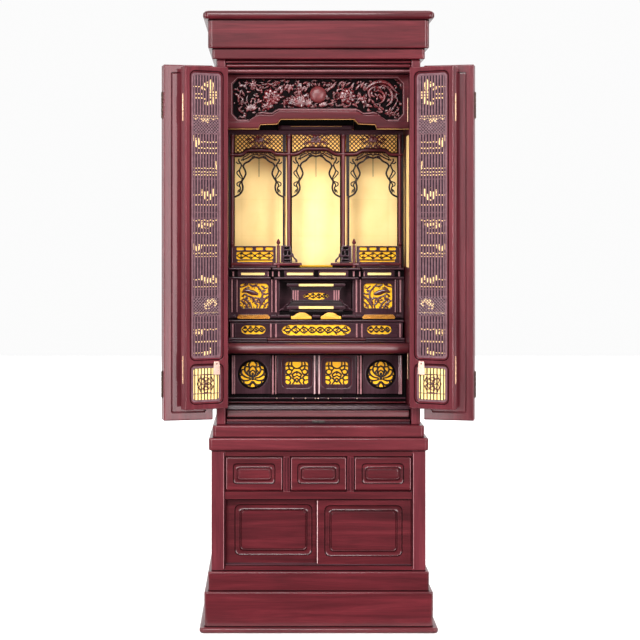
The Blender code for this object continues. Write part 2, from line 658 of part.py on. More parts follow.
for side_name, side in (("left", 1), ("right", -1)):
    # outer pair: the first leaf hangs on the post, the second folds behind it
    turn = leaf_matrix(side, OUT_PIN_X, OUT_PIN_F, OUT_OPEN)
    first = door_leaf(
        f"outer_door_{side_name}_1", "lacquer", side, turn, OUT_START,
        OUT_START + OUT_W, -OUT_T, 0, OUT_Z0, OUT_Z1,
        panel_shape(OUT_FOLD_S, OUT_FOLD_N))
    fold = turn @ Matrix.Translation(
        Vector((side * OUT_FOLD_S, OUT_FOLD_N, 0)) * MM)
    second = door_leaf(
        f"outer_door_{side_name}_2", "lacquer", side,
        fold @ Matrix.Rotation(math.pi, 4, "Z"), EDGE_GAP, EDGE_GAP + OUT_W,
        FOLD_GAP, FOLD_GAP + OUT_T, OUT_Z0, OUT_Z1,
        panel_shape(0, 0))
    for n, z in enumerate(HINGE_Z):
        where = ("lower", "upper")[n]
        bm = bmesh.new()
        add_rod(bm, -side * OUT_PIN_X, OUT_PIN_F, z - 35, z + 35, 2.8, 12)
        hinge = place(from_bmesh(bm), f"post_hinge_{side_name}_{where}",
                      "hinge")
        for x0, x1, f0, f1 in ((270, 254, 0.4, 2.4), (270.5, 267, 0.4, 5)):
            bm = bmesh.new()
            add_box(bm, -side * x0, -side * x1, f0, f1, z - 34, z + 34)
            boolean(hinge, from_bmesh(bm), "UNION")
        bm = bmesh.new()
        bmesh.ops.create_cone(bm, cap_ends=True, segments=12, radius1=3.6 * MM,
                              radius2=3.6 * MM, depth=70 * MM,
                              matrix=Matrix.Translation((0, 0, z * MM)))
        knuckle = place(from_bmesh(bm), f"fold_hinge_{side_name}_{where}",
                        "hinge")
        knuckle.matrix_world = fold

    # lattice pair: the first leaf hangs on the post, the second folds onto it
    turn = leaf_matrix(side, LAT_PIN_X, LAT_PIN_F, LAT_OPEN)
    first = door_leaf(
        f"lattice_{side_name}_1", "lacquer", side, turn, LAT_START,
        LAT_START + LAT_W, LAT_PIN_F, LAT_PIN_F + LAT_T, LAT_Z0, LAT_Z1,
        lattice_shape)
    fold = turn @ Matrix.Translation(
        Vector((side * LAT_FOLD_S, LAT_FOLD_N, 0)) * MM)
    turned = fold @ Matrix.Rotation(math.pi, 4, "Z")
    second = door_leaf(
        f"lattice_{side_name}_2", "lacquer", side, turned, EDGE_GAP,
        EDGE_GAP + LAT_W, -FOLD_GAP - LAT_T, -FOLD_GAP, LAT_Z0, LAT_Z1,
        lattice_shape)
    tag_n = -FOLD_GAP - LAT_T
    tag = place(local_box(side, EDGE_GAP + LAT_W - 43, EDGE_GAP + LAT_W - 24,
                          tag_n - 2.5, tag_n - 0.3, 672, 707, 1.5),
                f"pull_tag_{side_name}", "tag")
    tag.matrix_world = turned
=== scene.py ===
"""The looks of the household altar cabinet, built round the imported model.

Lengths are in millimetres in a cabinet frame that the helpers turn into the
row frame: x is the viewer's right, z is up, and a depth f is measured forward
from the front face of the altar posts, so what is recessed has a negative f.
"""

import math
import random

import bmesh
import bpy
import numpy as np
from mathutils import Matrix, Vector
from mathutils.geometry import tessellate_polygon


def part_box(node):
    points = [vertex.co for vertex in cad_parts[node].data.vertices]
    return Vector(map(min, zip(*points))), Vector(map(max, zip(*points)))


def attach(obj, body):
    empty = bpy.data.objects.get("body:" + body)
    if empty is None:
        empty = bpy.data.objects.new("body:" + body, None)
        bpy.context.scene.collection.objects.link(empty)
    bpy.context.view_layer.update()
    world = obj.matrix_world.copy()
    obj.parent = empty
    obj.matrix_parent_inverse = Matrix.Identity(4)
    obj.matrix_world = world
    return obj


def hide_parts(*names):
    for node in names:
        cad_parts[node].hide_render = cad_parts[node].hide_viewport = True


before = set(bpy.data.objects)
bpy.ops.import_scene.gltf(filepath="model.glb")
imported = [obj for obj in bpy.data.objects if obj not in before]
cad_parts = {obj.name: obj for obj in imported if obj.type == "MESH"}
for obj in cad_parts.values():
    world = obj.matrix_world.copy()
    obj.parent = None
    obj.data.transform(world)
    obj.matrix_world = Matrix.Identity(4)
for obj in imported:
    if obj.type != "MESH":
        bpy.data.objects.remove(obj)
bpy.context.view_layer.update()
POST_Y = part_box("altar_post_left")[0].y * 1000      # row-frame y of depth 0

# the photograph's scale: 2.62 mm a pixel at depth 0, 4 m in front of the lens
PX_MM, CAM_DIST, CAM_X, CAM_Z = 2.62, 4000.0, -126.8, 1046.6


def scale_at(f):
    return PX_MM * (1 - f / CAM_DIST)


def PX(px, f):
    """x of a photograph column at depth f."""
    return (px - 270) * scale_at(f) + CAM_X


def PZ(py, f):
    """Height of a photograph row at depth f."""
    return CAM_Z + (230 - py) * scale_at(f)


# ------------------------------------------------------------------ materials
def node_material(name):
    mat = bpy.data.materials.new(name)
    mat.use_nodes = True
    return mat, mat.node_tree.nodes, mat.node_tree.links, \
        mat.node_tree.nodes["Principled BSDF"]


def mapped_noise(nodes, links, scale, detail=5.0, rough=0.55, distortion=0.0,
                 size=1.0):
    coord = nodes.new("ShaderNodeTexCoord")
    mapping = nodes.new("ShaderNodeMapping")
    mapping.inputs["Scale"].default_value = scale
    noise = nodes.new("ShaderNodeTexNoise")
    noise.inputs["Scale"].default_value = size
    noise.inputs["Detail"].default_value = detail
    noise.inputs["Roughness"].default_value = rough
    noise.inputs["Distortion"].default_value = distortion
    links.new(coord.outputs["Object"], mapping.inputs["Vector"])
    links.new(mapping.outputs["Vector"], noise.inputs["Vector"])
    return noise.outputs["Fac"]


def ramp(nodes, links, source, stops):
    node = nodes.new("ShaderNodeValToRGB")
    elements = node.color_ramp.elements
    while len(elements) > 1:
        elements.remove(elements[-1])
    elements[0].position = stops[0][0]
    elements[0].color = (*stops[0][1], 1)
    for position, colour in stops[1:]:
        element = elements.new(position)
        element.color = (*colour, 1)
    links.new(source, node.inputs["Fac"])
    return node.outputs["Color"]


def mix(nodes, links, a, b, factor, blend="MIX"):
    node = nodes.new("ShaderNodeMix")
    node.data_type = "RGBA"
    node.blend_type = blend
    if isinstance(factor, float):
        node.inputs[0].default_value = factor
    else:
        links.new(factor, node.inputs[0])
    for socket, value in ((node.inputs[6], a), (node.inputs[7], b)):
        if isinstance(value, tuple):
            socket.default_value = (*value, 1)
        else:
            links.new(value, socket)
    return node.outputs[2]


def to_range(nodes, links, source, low, high, from_low=0.3, from_high=0.7):
    node = nodes.new("ShaderNodeMapRange")
    node.inputs["From Min"].default_value = from_low
    node.inputs["From Max"].default_value = from_high
    node.inputs["To Min"].default_value = low
    node.inputs["To Max"].default_value = high
    links.new(source, node.inputs["Value"])
    return node.outputs["Result"]


def bump(nodes, links, shader, height, strength, distance):
    node = nodes.new("ShaderNodeBump")
    node.inputs["Strength"].default_value = strength
    node.inputs["Distance"].default_value = distance
    links.new(height, node.inputs["Height"])
    links.new(node.outputs["Normal"], shader.inputs["Normal"])


def lacquered_wood(name, dark, mid, light, grain, rough=0.36, coat=0.42,
                   coat_rough=0.09, figure=1.0):
    """Clear-coated wood: flowing figure, fine pores, and a faint ripple."""
    mat, nodes, links, shader = node_material(name)
    along = {"z": (42, 42, 2.6), "x": (2.6, 42, 42), "y": (42, 2.6, 42)}[grain]
    fine = {"z": (620, 620, 16), "x": (16, 620, 620),
            "y": (620, 16, 620)}[grain]
    broad = mapped_noise(nodes, links, along, 6, 0.6, 0.7 * figure)
    pores = mapped_noise(nodes, links, fine, 3, 0.5)
    cloud = mapped_noise(nodes, links, (5, 5, 5), 3, 0.5)
    colour = ramp(nodes, links, broad, [(0.30, dark), (0.52, mid),
                                        (0.72, light)])
    pore = ramp(nodes, links, pores, [(0.36, (0.62, 0.62, 0.62)),
                                      (0.55, (1, 1, 1))])
    colour = mix(nodes, links, colour, pore, 0.5, "MULTIPLY")
    shade = ramp(nodes, links, cloud, [(0.3, (0.86, 0.84, 0.84)),
                                       (0.7, (1.08, 1.04, 1.04))])
    colour = mix(nodes, links, colour, shade, 0.8, "MULTIPLY")
    links.new(colour, shader.inputs["Base Color"])
    links.new(to_range(nodes, links, pores, rough + 0.08, rough - 0.03),
              shader.inputs["Roughness"])
    shader.inputs["Coat Weight"].default_value = coat
    shader.inputs["Coat Roughness"].default_value = coat_rough
    shader.inputs["Specular IOR Level"].default_value = 0.10
    ripple = mapped_noise(nodes, links, (28, 28, 28), 2, 0.5)
    bump(nodes, links, shader, mix(nodes, links, ripple, pores, 0.12), 0.12,
         0.0006)
    return mat


def leaf_gold(name, base, deep, rough, metallic, seams=True):
    """Gold leaf laid in squares on board, a little mottled."""
    mat, nodes, links, shader = node_material(name)
    mottle = mapped_noise(nodes, links, (14, 14, 14), 6, 0.65, 0.4)
    grit = mapped_noise(nodes, links, (420, 420, 420), 3, 0.6)
    colour = ramp(nodes, links, mottle, [(0.32, deep), (0.62, base)])
    if seams:
        coord = nodes.new("ShaderNodeTexCoord")
        mapping = nodes.new("ShaderNodeMapping")
        mapping.inputs["Rotation"].default_value = (math.pi / 2, 0, 0)
        brick = nodes.new("ShaderNodeTexBrick")
        brick.offset = 0.0
        brick.inputs["Color1"].default_value = (1, 1, 1, 1)
        brick.inputs["Color2"].default_value = (0.965, 0.955, 0.94, 1)
        brick.inputs["Mortar"].default_value = (0.90, 0.86, 0.78, 1)
        brick.inputs["Scale"].default_value = 1.0
        brick.inputs["Mortar Size"].default_value = 0.0007
        brick.inputs["Mortar Smooth"].default_value = 0.4
        brick.inputs["Brick Width"].default_value = 0.103
        brick.inputs["Row Height"].default_value = 0.103
        links.new(coord.outputs["Object"], mapping.inputs["Vector"])
        links.new(mapping.outputs["Vector"], brick.inputs["Vector"])
        colour = mix(nodes, links, colour, brick.outputs["Color"], 0.7,
                     "MULTIPLY")
    links.new(colour, shader.inputs["Base Color"])
    links.new(to_range(nodes, links, grit, rough - 0.05, rough + 0.08),
              shader.inputs["Roughness"])
    shader.inputs["Metallic"].default_value = metallic
    shader.inputs["Specular IOR Level"].default_value = 0.15
    bump(nodes, links, shader, mix(nodes, links, mottle, grit, 0.35), 0.10,
         0.0008)
    return mat


def metal(name, light, dark, rough, metallic=1.0):
    mat, nodes, links, shader = node_material(name)
    patches = mapped_noise(nodes, links, (160, 160, 160), 5, 0.6, 0.3)
    brush = mapped_noise(nodes, links, (60, 60, 1500), 2, 0.5)
    links.new(ramp(nodes, links, patches, [(0.35, dark), (0.65, light)]),
              shader.inputs["Base Color"])
    links.new(to_range(nodes, links, patches, rough + 0.12, rough - 0.04),
              shader.inputs["Roughness"])
    shader.inputs["Metallic"].default_value = metallic
    bump(nodes, links, shader, brush, 0.08, 0.0003)
    return mat


def plain_wood(name, dark, light):
    """Unlacquered board of the hidden back."""
    mat, nodes, links, shader = node_material(name)
    grain = mapped_noise(nodes, links, (34, 34, 1.6), 8, 0.65, 1.2)
    pores = mapped_noise(nodes, links, (700, 700, 20), 2, 0.5)
    colour = ramp(nodes, links, grain, [(0.3, dark), (0.7, light)])
    colour = mix(nodes, links, colour, ramp(
        nodes, links, pores, [(0.35, (0.7, 0.68, 0.66)), (0.55, (1, 1, 1))]),
        0.6, "MULTIPLY")
    links.new(colour, shader.inputs["Base Color"])
    links.new(to_range(nodes, links, pores, 0.68, 0.52),
              shader.inputs["Roughness"])
    bump(nodes, links, shader, pores, 0.25, 0.0004)
    return mat


def painted(name, dark, light, rough, coat=0.0, specular=0.3):
    """Opaque lacquer over carved work, mottled in random patches."""
    mat, nodes, links, shader = node_material(name)
    patches = mapped_noise(nodes, links, (95, 95, 95), 5, 0.6, 0.5)
    fine = mapped_noise(nodes, links, (800, 800, 800), 2, 0.5)
    links.new(ramp(nodes, links, patches, [(0.34, dark), (0.66, light)]),
              shader.inputs["Base Color"])
    links.new(to_range(nodes, links, fine, rough - 0.04, rough + 0.07),
              shader.inputs["Roughness"])
    shader.inputs["Coat Weight"].default_value = coat
    shader.inputs["Coat Roughness"].default_value = 0.07
    shader.inputs["Specular IOR Level"].default_value = specular
    bump(nodes, links, shader, mix(nodes, links, patches, fine, 0.3), 0.10,
         0.0005)
    return mat


RED = ((0.038, 0.0040, 0.0062), (0.070, 0.0078, 0.0116),
       (0.106, 0.0130, 0.0180))
RED_LIGHT = ((0.060, 0.0085, 0.0125), (0.090, 0.0135, 0.0195),
             (0.122, 0.0205, 0.0280))
MATS = {
    "lacquer_z": lacquered_wood("rosewood_upright", *RED_LIGHT, "z"),
    "lacquer_x": lacquered_wood("rosewood_level", *RED, "x"),
    "lacquer_y": lacquered_wood("rosewood_depth", *RED, "y"),
    "inner_z": lacquered_wood("inner_upright", (0.021, 0.0066, 0.0104),
                              (0.037, 0.0118, 0.0180), (0.054, 0.0180, 0.0265),
                              "z", 0.34, 0.55, 0.10),
    "inner_x": lacquered_wood("inner_level", (0.021, 0.0066, 0.0104),
                              (0.037, 0.0118, 0.0180), (0.054, 0.0180, 0.0265),
                              "x", 0.34, 0.55, 0.10),
    "carving": painted("carved_red", (0.024, 0.0022, 0.0032),
                       (0.115, 0.0085, 0.0110), 0.24, 0.6, 0.35),
    # near-black paint standing in for shade: in joints, grooves and gaps, under
    # mouldings, and behind openwork and cut-outs
    "ground": painted("painted_shade_black", (0.0014, 0.0010, 0.0010),
                      (0.0036, 0.0018, 0.0022), 0.7, 0.0, 0.04),
    # dark lacquer for the line-work of the openwork, also used as painted shade
    # in the gaps beside the arcade columns and under the niche table's top
    "stroke": painted("dark_linework_and_shade", (0.0045, 0.0018, 0.0024),
                      (0.0150, 0.0045, 0.0060), 0.36, 0.12, 0.2),
    "gold_pale": leaf_gold("gold_back", (0.97, 0.715, 0.305),
                           (0.94, 0.665, 0.265), 0.50, 0.0),
    "gold_deep": leaf_gold("gold_ground", (0.90, 0.49, 0.016),
                           (0.74, 0.35, 0.018), 0.40, 0.1, False),
    "gold_ochre": leaf_gold("gold_ochre", (1.0, 0.62, 0.17),
                            (0.92, 0.52, 0.11), 0.45, 0.0, False),
    "gold_mist": leaf_gold("gold_mist", (0.80, 0.58, 0.26),
                           (0.60, 0.40, 0.16), 0.45, 0.1, False),
    "amber": leaf_gold("amber_beads", (0.80, 0.40, 0.06),
                       (0.60, 0.24, 0.03), 0.32, 0.5, False),
    "gold_edge": leaf_gold("gold_edge", (0.55, 0.30, 0.10),
                           (0.36, 0.17, 0.05), 0.35, 0.7, False),
    "gold_cream": leaf_gold("gold_cream", (0.92, 0.70, 0.28),
                            (0.86, 0.60, 0.20), 0.45, 0.0, False),
    "umber": painted("openwork_brown", (0.045, 0.014, 0.006),
                     (0.090, 0.030, 0.012), 0.4, 0.1, 0.2),
    "plum": painted("openwork_plum", (0.040, 0.008, 0.010),
                    (0.095, 0.022, 0.026), 0.28, 0.7),
    "jewel": painted("jewel_red", (0.078, 0.009, 0.011),
                     (0.125, 0.019, 0.020), 0.44, 0.12),
    # light pink paint standing in for the highlights on beads, edges and thin
    # uprights
    "rose": painted("pink_highlight_paint", (0.225, 0.098, 0.106),
                    (0.350, 0.170, 0.180), 0.30, 0.6),
    "waist_x": lacquered_wood("rosewood_waist", (0.056, 0.0072, 0.0104),
                              (0.094, 0.0128, 0.0182),
                              (0.132, 0.0200, 0.0270), "x"),
    # near-white pink paint standing in for the bright highlight on the middle
    # stile and on a door edge
    "blush": painted("white_pink_highlight_paint", (0.48, 0.30, 0.30),
                     (0.66, 0.45, 0.45), 0.30, 0.5),
    "gloss_x": lacquered_wood("rosewood_rail", *RED, "x", 0.3, 1.0, 0.42),
    "gauze": painted("dark_gauze", (0.016, 0.009, 0.013),
                     (0.030, 0.017, 0.024), 0.7, 0.0, 0.1),
    "bronze": metal("dark_bronze", (0.060, 0.036, 0.028), (0.025, 0.015, 0.013),
                    0.34),
    "pink_brass": metal("pink_brass", (0.88, 0.62, 0.52),
                        (0.76, 0.47, 0.38), 0.30),
    "mauve": painted("mauve_bars", (0.088, 0.042, 0.050),
                     (0.142, 0.072, 0.084), 0.34, 0.4, 0.2),
    "cream_brass": metal("cream_brass", (0.50, 0.34, 0.22),
                         (0.34, 0.22, 0.14), 0.28),
    "iron": metal("dark_iron", (0.07, 0.065, 0.06), (0.03, 0.028, 0.026),
                  0.4),
    "board": plain_wood("back_board", (0.20, 0.105, 0.055),
                        (0.33, 0.19, 0.105)),
}


# --------------------------------------------------------------- mesh helpers
class Shape:
    """Collects closed surfaces; points are (x, -f, z) in millimetres."""

    def __init__(self):
        self.points, self.faces, self.keys, self.count = [], [], [], 0

    def add(self, points, faces, mat):
        points = np.asarray(points, float).reshape(-1, 3)
        base = self.count
        self.points.append(points)
        self.faces.extend([tuple(i + base for i in face) for face in faces])
        self.keys.extend([mat] * len(faces))
        self.count += len(points)

    def merge(self, other, matrix=None):
        if not other.count:
            return
        points = np.concatenate(other.points)
        if matrix is not None:
            m = np.array(matrix)
            points = points @ m[:3, :3].T + m[:3, 3]
        base = self.count
        self.points.append(points)
        self.faces.extend([tuple(i + base for i in f) for f in other.faces])
        self.keys.extend(other.keys)
        self.count += len(points)

    def build(self, name, body, replaces=(), slot="rosewood_lacquer",
              angle=34.0, weighted=True, place=True):
        """The finished piece, riding on its body."""
        points = np.concatenate(self.points)
        if place:
            points = points + np.array((0.0, POST_Y, 0.0))
        mesh = bpy.data.meshes.new(name)
        mesh.from_pydata((points / 1000).tolist(), [], self.faces)
        used = sorted(set(self.keys))
        index = {key: n for n, key in enumerate(used)}
        for key in used:
            mesh.materials.append(MATS[key])
        mesh.polygons.foreach_set("material_index",
                                  [index[key] for key in self.keys])
        bm = bmesh.new()
        bm.from_mesh(mesh)
        bmesh.ops.remove_doubles(bm, verts=bm.verts, dist=1e-6)
        bmesh.ops.recalc_face_normals(bm, faces=bm.faces)
        bm.to_mesh(mesh)
        bm.free()
        mesh.shade_smooth()
        mesh.set_sharp_from_angle(angle=math.radians(angle))
        obj = bpy.data.objects.new(name, mesh)
        bpy.context.scene.collection.objects.link(obj)
        if weighted:
            modifier = obj.modifiers.new("even_shading", "WEIGHTED_NORMAL")
            modifier.keep_sharp = True
        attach(obj, body)
        if replaces:
            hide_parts(*replaces)
        return obj


def loft(shape, loops, mat, cap0=True, cap1=True, closed=True):
    """Skin through loops of equal length."""
    n = len(loops[0])
    points = np.concatenate([np.asarray(loop, float) for loop in loops])
    faces = []
    for k in range(len(loops) - 1):
        a, b = k * n, (k + 1) * n
        for i in range(n if closed else n - 1):
            j = (i + 1) % n
            faces.append((a + i, a + j, b + j, b + i))
    if cap0:
        faces.append(tuple(range(n - 1, -1, -1)))
    if cap1:
        last = (len(loops) - 1) * n
        faces.append(tuple(range(last, last + n)))
    shape.add(points, faces, mat)


def rrect(x0, x1, z0, z1, r, seg=6):
    """Outline of a rectangle with round corners."""
    r = max(min(r, (x1 - x0) / 2 - 0.01, (z1 - z0) / 2 - 0.01), 0.02)
    points = []
    for cx, cz, start in ((x1 - r, z1 - r, 0), (x0 + r, z1 - r, 90),
                          (x0 + r, z0 + r, 180), (x1 - r, z0 + r, 270)):
        for k in range(seg + 1):
            a = math.radians(start + 90 * k / seg)
            points.append((cx + r * math.cos(a), cz + r * math.sin(a)))
    return points


def ring_panel(shape, rects, mat, seg=6):
    """A solid stepped through round-cornered rectangles, each
    (x0, x1, z0, z1, r, f), from the back cap to the front cap."""
    loops = []
    for x0, x1, z0, z1, r, f in rects:
        loops.append([(x, -f, z) for x, z in rrect(x0, x1, z0, z1, r, seg)])
    loft(shape, loops, mat)


def arc_steps(n):
    return [math.radians(90 * k / n) for k in range(n + 1)]


def slab(shape, x0, x1, f0, f1, z0, z1, r, mat, seg=3):
    """A box whose edges are all rounded by r."""
    r = min(r, abs(x1 - x0) / 2 - 0.01, abs(f1 - f0) / 2 - 0.01,
            abs(z1 - z0) / 2 - 0.01)
    bm = bmesh.new()
    size = (abs(x1 - x0), abs(f1 - f0), abs(z1 - z0))
    mid = ((x0 + x1) / 2, -(f0 + f1) / 2, (z0 + z1) / 2)
    bmesh.ops.create_cube(bm, size=1, matrix=Matrix.Translation(mid)
                          @ Matrix.Diagonal((*size, 1)))
    if r > 0.05:
        bmesh.ops.bevel(bm, geom=list(bm.edges), offset=r, segments=seg,
                        profile=0.5, affect="EDGES")
    bm.verts.index_update()
    shape.add([v.co[:] for v in bm.verts],
              [[v.index for v in face.verts] for face in bm.faces], mat)
    bm.free()


def tier(shape, half, front, z0, z1, corner, profile, mat, back=-458.0,
         seg=8):
    """A slab moulded along its front and sides. The profile gives, from the
    bottom up, (inset, share of the height)."""
    loops = []
    for inset, share in profile:
        z = z0 + (z1 - z0) * share
        h, top = half - inset, front - inset
        r = max(corner - inset * 0.6, 1.0)
        low = back + min(inset, 1.5)
        points = []
        for cx, cf, start in ((h - r, top - r, 0), (-h + r, top - r, 90)):
            for k in range(seg + 1):
                a = math.radians(start + 90 * k / seg)
                points.append((cx + r * math.cos(a), cf + r * math.sin(a)))
        points += [(-h, low), (h, low)]
        loops.append([(x, -f, z) for x, f in points])
    loft(shape, loops, mat)


def rounded_profile(r, height, seg=5, top=None):
    """Inset and height share of an edge rounded at the bottom and top."""
    top = r if top is None else top
    low = [(r * (1 - math.sin(a)), r * (1 - math.cos(a)) / height)
           for a in arc_steps(seg)]
    high = [(top * (1 - math.cos(a)), 1 - top * (1 - math.sin(a)) / height)
            for a in arc_steps(seg)]
    return low + high


def signed_area(loop):
    return sum(a[0] * b[1] - b[0] * a[1]
               for a, b in zip(loop, loop[1:] + loop[:1])) / 2


def inset_loop(loop, distance):
    """Moves an outline to its left by a mitred distance."""
    n = len(loop)
    moved = []
    for i in range(n):
        p, q, s = loop[i - 1], loop[i], loop[(i + 1) % n]
        d0 = np.array((q[0] - p[0], q[1] - p[1]), float)
        d1 = np.array((s[0] - q[0], s[1] - q[1]), float)
        d0 /= max(np.hypot(*d0), 1e-9)
        d1 /= max(np.hypot(*d1), 1e-9)
        n0, n1 = np.array((-d0[1], d0[0])), np.array((-d1[1], d1[0]))
        m = n0 + n1
        m /= max(np.hypot(*m), 1e-9)
        k = distance / max(m @ n0, 0.35)
        moved.append((q[0] + m[0] * k, q[1] + m[1] * k))
    return moved


def board(shape, loops, f0, f1, mat, edge=1.0, seg=3, back_edge=0.3):
    """A flat board with holes; the first loop is its outline. The front
    edges of outline and holes are rounded by edge."""
    fixed = []
    for n, loop in enumerate(loops):
        loop = list(loop)
        if (signed_area(loop) > 0) != (n == 0):
            loop.reverse()
        fixed.append(loop)
    steps = [(back_edge, 0.0), (0.0, back_edge)] if back_edge else [(0.0, 0.0)]
    levels = [(inset, f0 + lift) for inset, lift in steps]
    levels += [(edge * (1 - math.cos(a)), f1 - edge * (1 - math.sin(a)))
               for a in arc_steps(seg)]
    rows = []
    for loop in fixed:
        rows.append([[(x, -f, z) for x, z in inset_loop(loop, inset)]
                     for inset, f in levels])
    for row in rows:
        loft(shape, row, mat, cap0=False, cap1=False)
    for which, flip in ((-1, False), (0, True)):
        flat = [[Vector((p[0], p[2], 0)) for p in row[which]] for row in rows]
        points = [p for row in rows for p in row[which]]
        faces = [tuple(reversed(t)) if flip else tuple(t)
                 for t in tessellate_polygon(flat)]
        shape.add(points, faces, mat)


def weld(obj, distance=1e-6):
    bm = bmesh.new()
    bm.from_mesh(obj.data)
    bmesh.ops.remove_doubles(bm, verts=bm.verts, dist=distance)
    bmesh.ops.recalc_face_normals(bm, faces=bm.faces)
    bm.to_mesh(obj.data)
    bm.free()


def smooth_path(points, steps=6, closed=False):
    """Catmull-Rom curve through the points."""
    pts = [np.array(p, float) for p in points]
    n = len(pts)
    out = []
    for i in range(n if closed else n - 1):
        p0 = pts[i - 1] if closed or i else pts[0] * 2 - pts[1]
        p1, p2 = pts[i], pts[(i + 1) % n]
        p3 = pts[(i + 2) % n] if closed or i + 2 < n else p2 * 2 - p1
        for k in range(steps):
            t = k / steps
            out.append(0.5 * (2 * p1 + (p2 - p0) * t
                              + (2 * p0 - 5 * p1 + 4 * p2 - p3) * t * t
                              + (3 * p1 - p0 - 3 * p2 + p3) * t ** 3))
    if not closed:
        out.append(pts[-1])
    return out


def stem(shape, path, width, f, mat, depth=None, sides=8, closed=False,
         ends=(1.0, 1.0), taper=3):
    """A carved stem of oval section along a path of (x, z) points."""
    pts = [np.array(p, float) for p in path]
    n = len(pts)
    depth = width if depth is None else depth
    loops = []
    for i in range(n):
        a = pts[i - 1] if closed or i else pts[i]
        b = pts[(i + 1) % n] if closed or i < n - 1 else pts[i]
        t = b - a
        t /= max(np.hypot(*t), 1e-9)
        side = np.array((-t[1], t[0]))
        w = width / 2
        if not closed:
            if i < taper:
                w *= ends[0] + (1 - ends[0]) * i / taper
            if n - 1 - i < taper:
                w *= ends[1] + (1 - ends[1]) * (n - 1 - i) / taper
        ring = []
        for k in range(sides):
            c, s = math.cos(2 * math.pi * k / sides), \
                math.sin(2 * math.pi * k / sides)
            ring.append((pts[i][0] + side[0] * w * c, -(f + depth / 2 * s),
                         pts[i][1] + side[1] * w * c))
        loops.append(ring)
    if closed:
        loops.append(loops[0])
        loft(shape, loops, mat, False, False)
    else:
        loft(shape, loops, mat)


def rod(shape, path, radius, mat, sides=10, closed=False):
    """A round bar along points of (x, f, z)."""
    pts = [np.array((p[0], -p[1], p[2]), float) for p in path]
    n = len(pts)
    loops, normal = [], None
    for i in range(n):
        a = pts[i - 1] if closed or i else pts[i]
        b = pts[(i + 1) % n] if closed or i < n - 1 else pts[i]
        t = b - a
        t /= max(np.linalg.norm(t), 1e-9)
        if normal is None:
            ref = np.array((0, 1.0, 0)) if abs(t[1]) < 0.9 \
                else np.array((1.0, 0, 0))
            normal = np.cross(t, ref)
        normal = normal - t * (normal @ t)
        normal /= np.linalg.norm(normal)
        other = np.cross(t, normal)
        r = radius[i] if isinstance(radius, (list, tuple)) else radius
        loops.append([pts[i] + r * (normal * math.cos(2 * math.pi * k / sides)
                                    + other * math.sin(2 * math.pi * k
                                                       / sides))
                      for k in range(sides)])
    if closed:
        loops.append(loops[0])
    loft(shape, loops, mat, not closed, not closed)


def turned(shape, x, f, profile, mat, sides=20):
    """A turned upright: profile of (radius, z) from the bottom up."""
    loops = []
    for r, z in profile:
        r = max(r, 0.05)
        loops.append([(x + r * math.cos(2 * math.pi * k / sides),
                       -f + r * math.sin(2 * math.pi * k / sides), z)
                      for k in range(sides)])
    loft(shape, loops, mat)


def dome(shape, x, f, z, rx, rf, rz, mat, sides=14, rings=7):
    """A bead or boss: an ellipsoid."""
    loops = []
    for i in range(1, rings):
        a = math.pi * i / rings
        loops.append([(x + rx * math.sin(a) * math.cos(2 * math.pi * k
                                                      / sides),
                       -f - rf * math.cos(a),
                       z + rz * math.sin(a) * math.sin(2 * math.pi * k
                                                      / sides))
                      for k in range(sides)])
    n = sides
    points = [p for loop in loops for p in loop]
    tip0, tip1 = len(points), len(points) + 1
    points += [(x, -f - rf, z), (x, -f + rf, z)]
    faces = []
    for k in range(len(loops) - 1):
        for i in range(n):
            j = (i + 1) % n
            faces.append((k * n + i, k * n + j, (k + 1) * n + j,
                          (k + 1) * n + i))
    last = (len(loops) - 1) * n
    for i in range(n):
        j = (i + 1) % n
        faces.append((tip0, j, i))
        faces.append((tip1, last + i, last + j))
    shape.add(points, faces, mat)


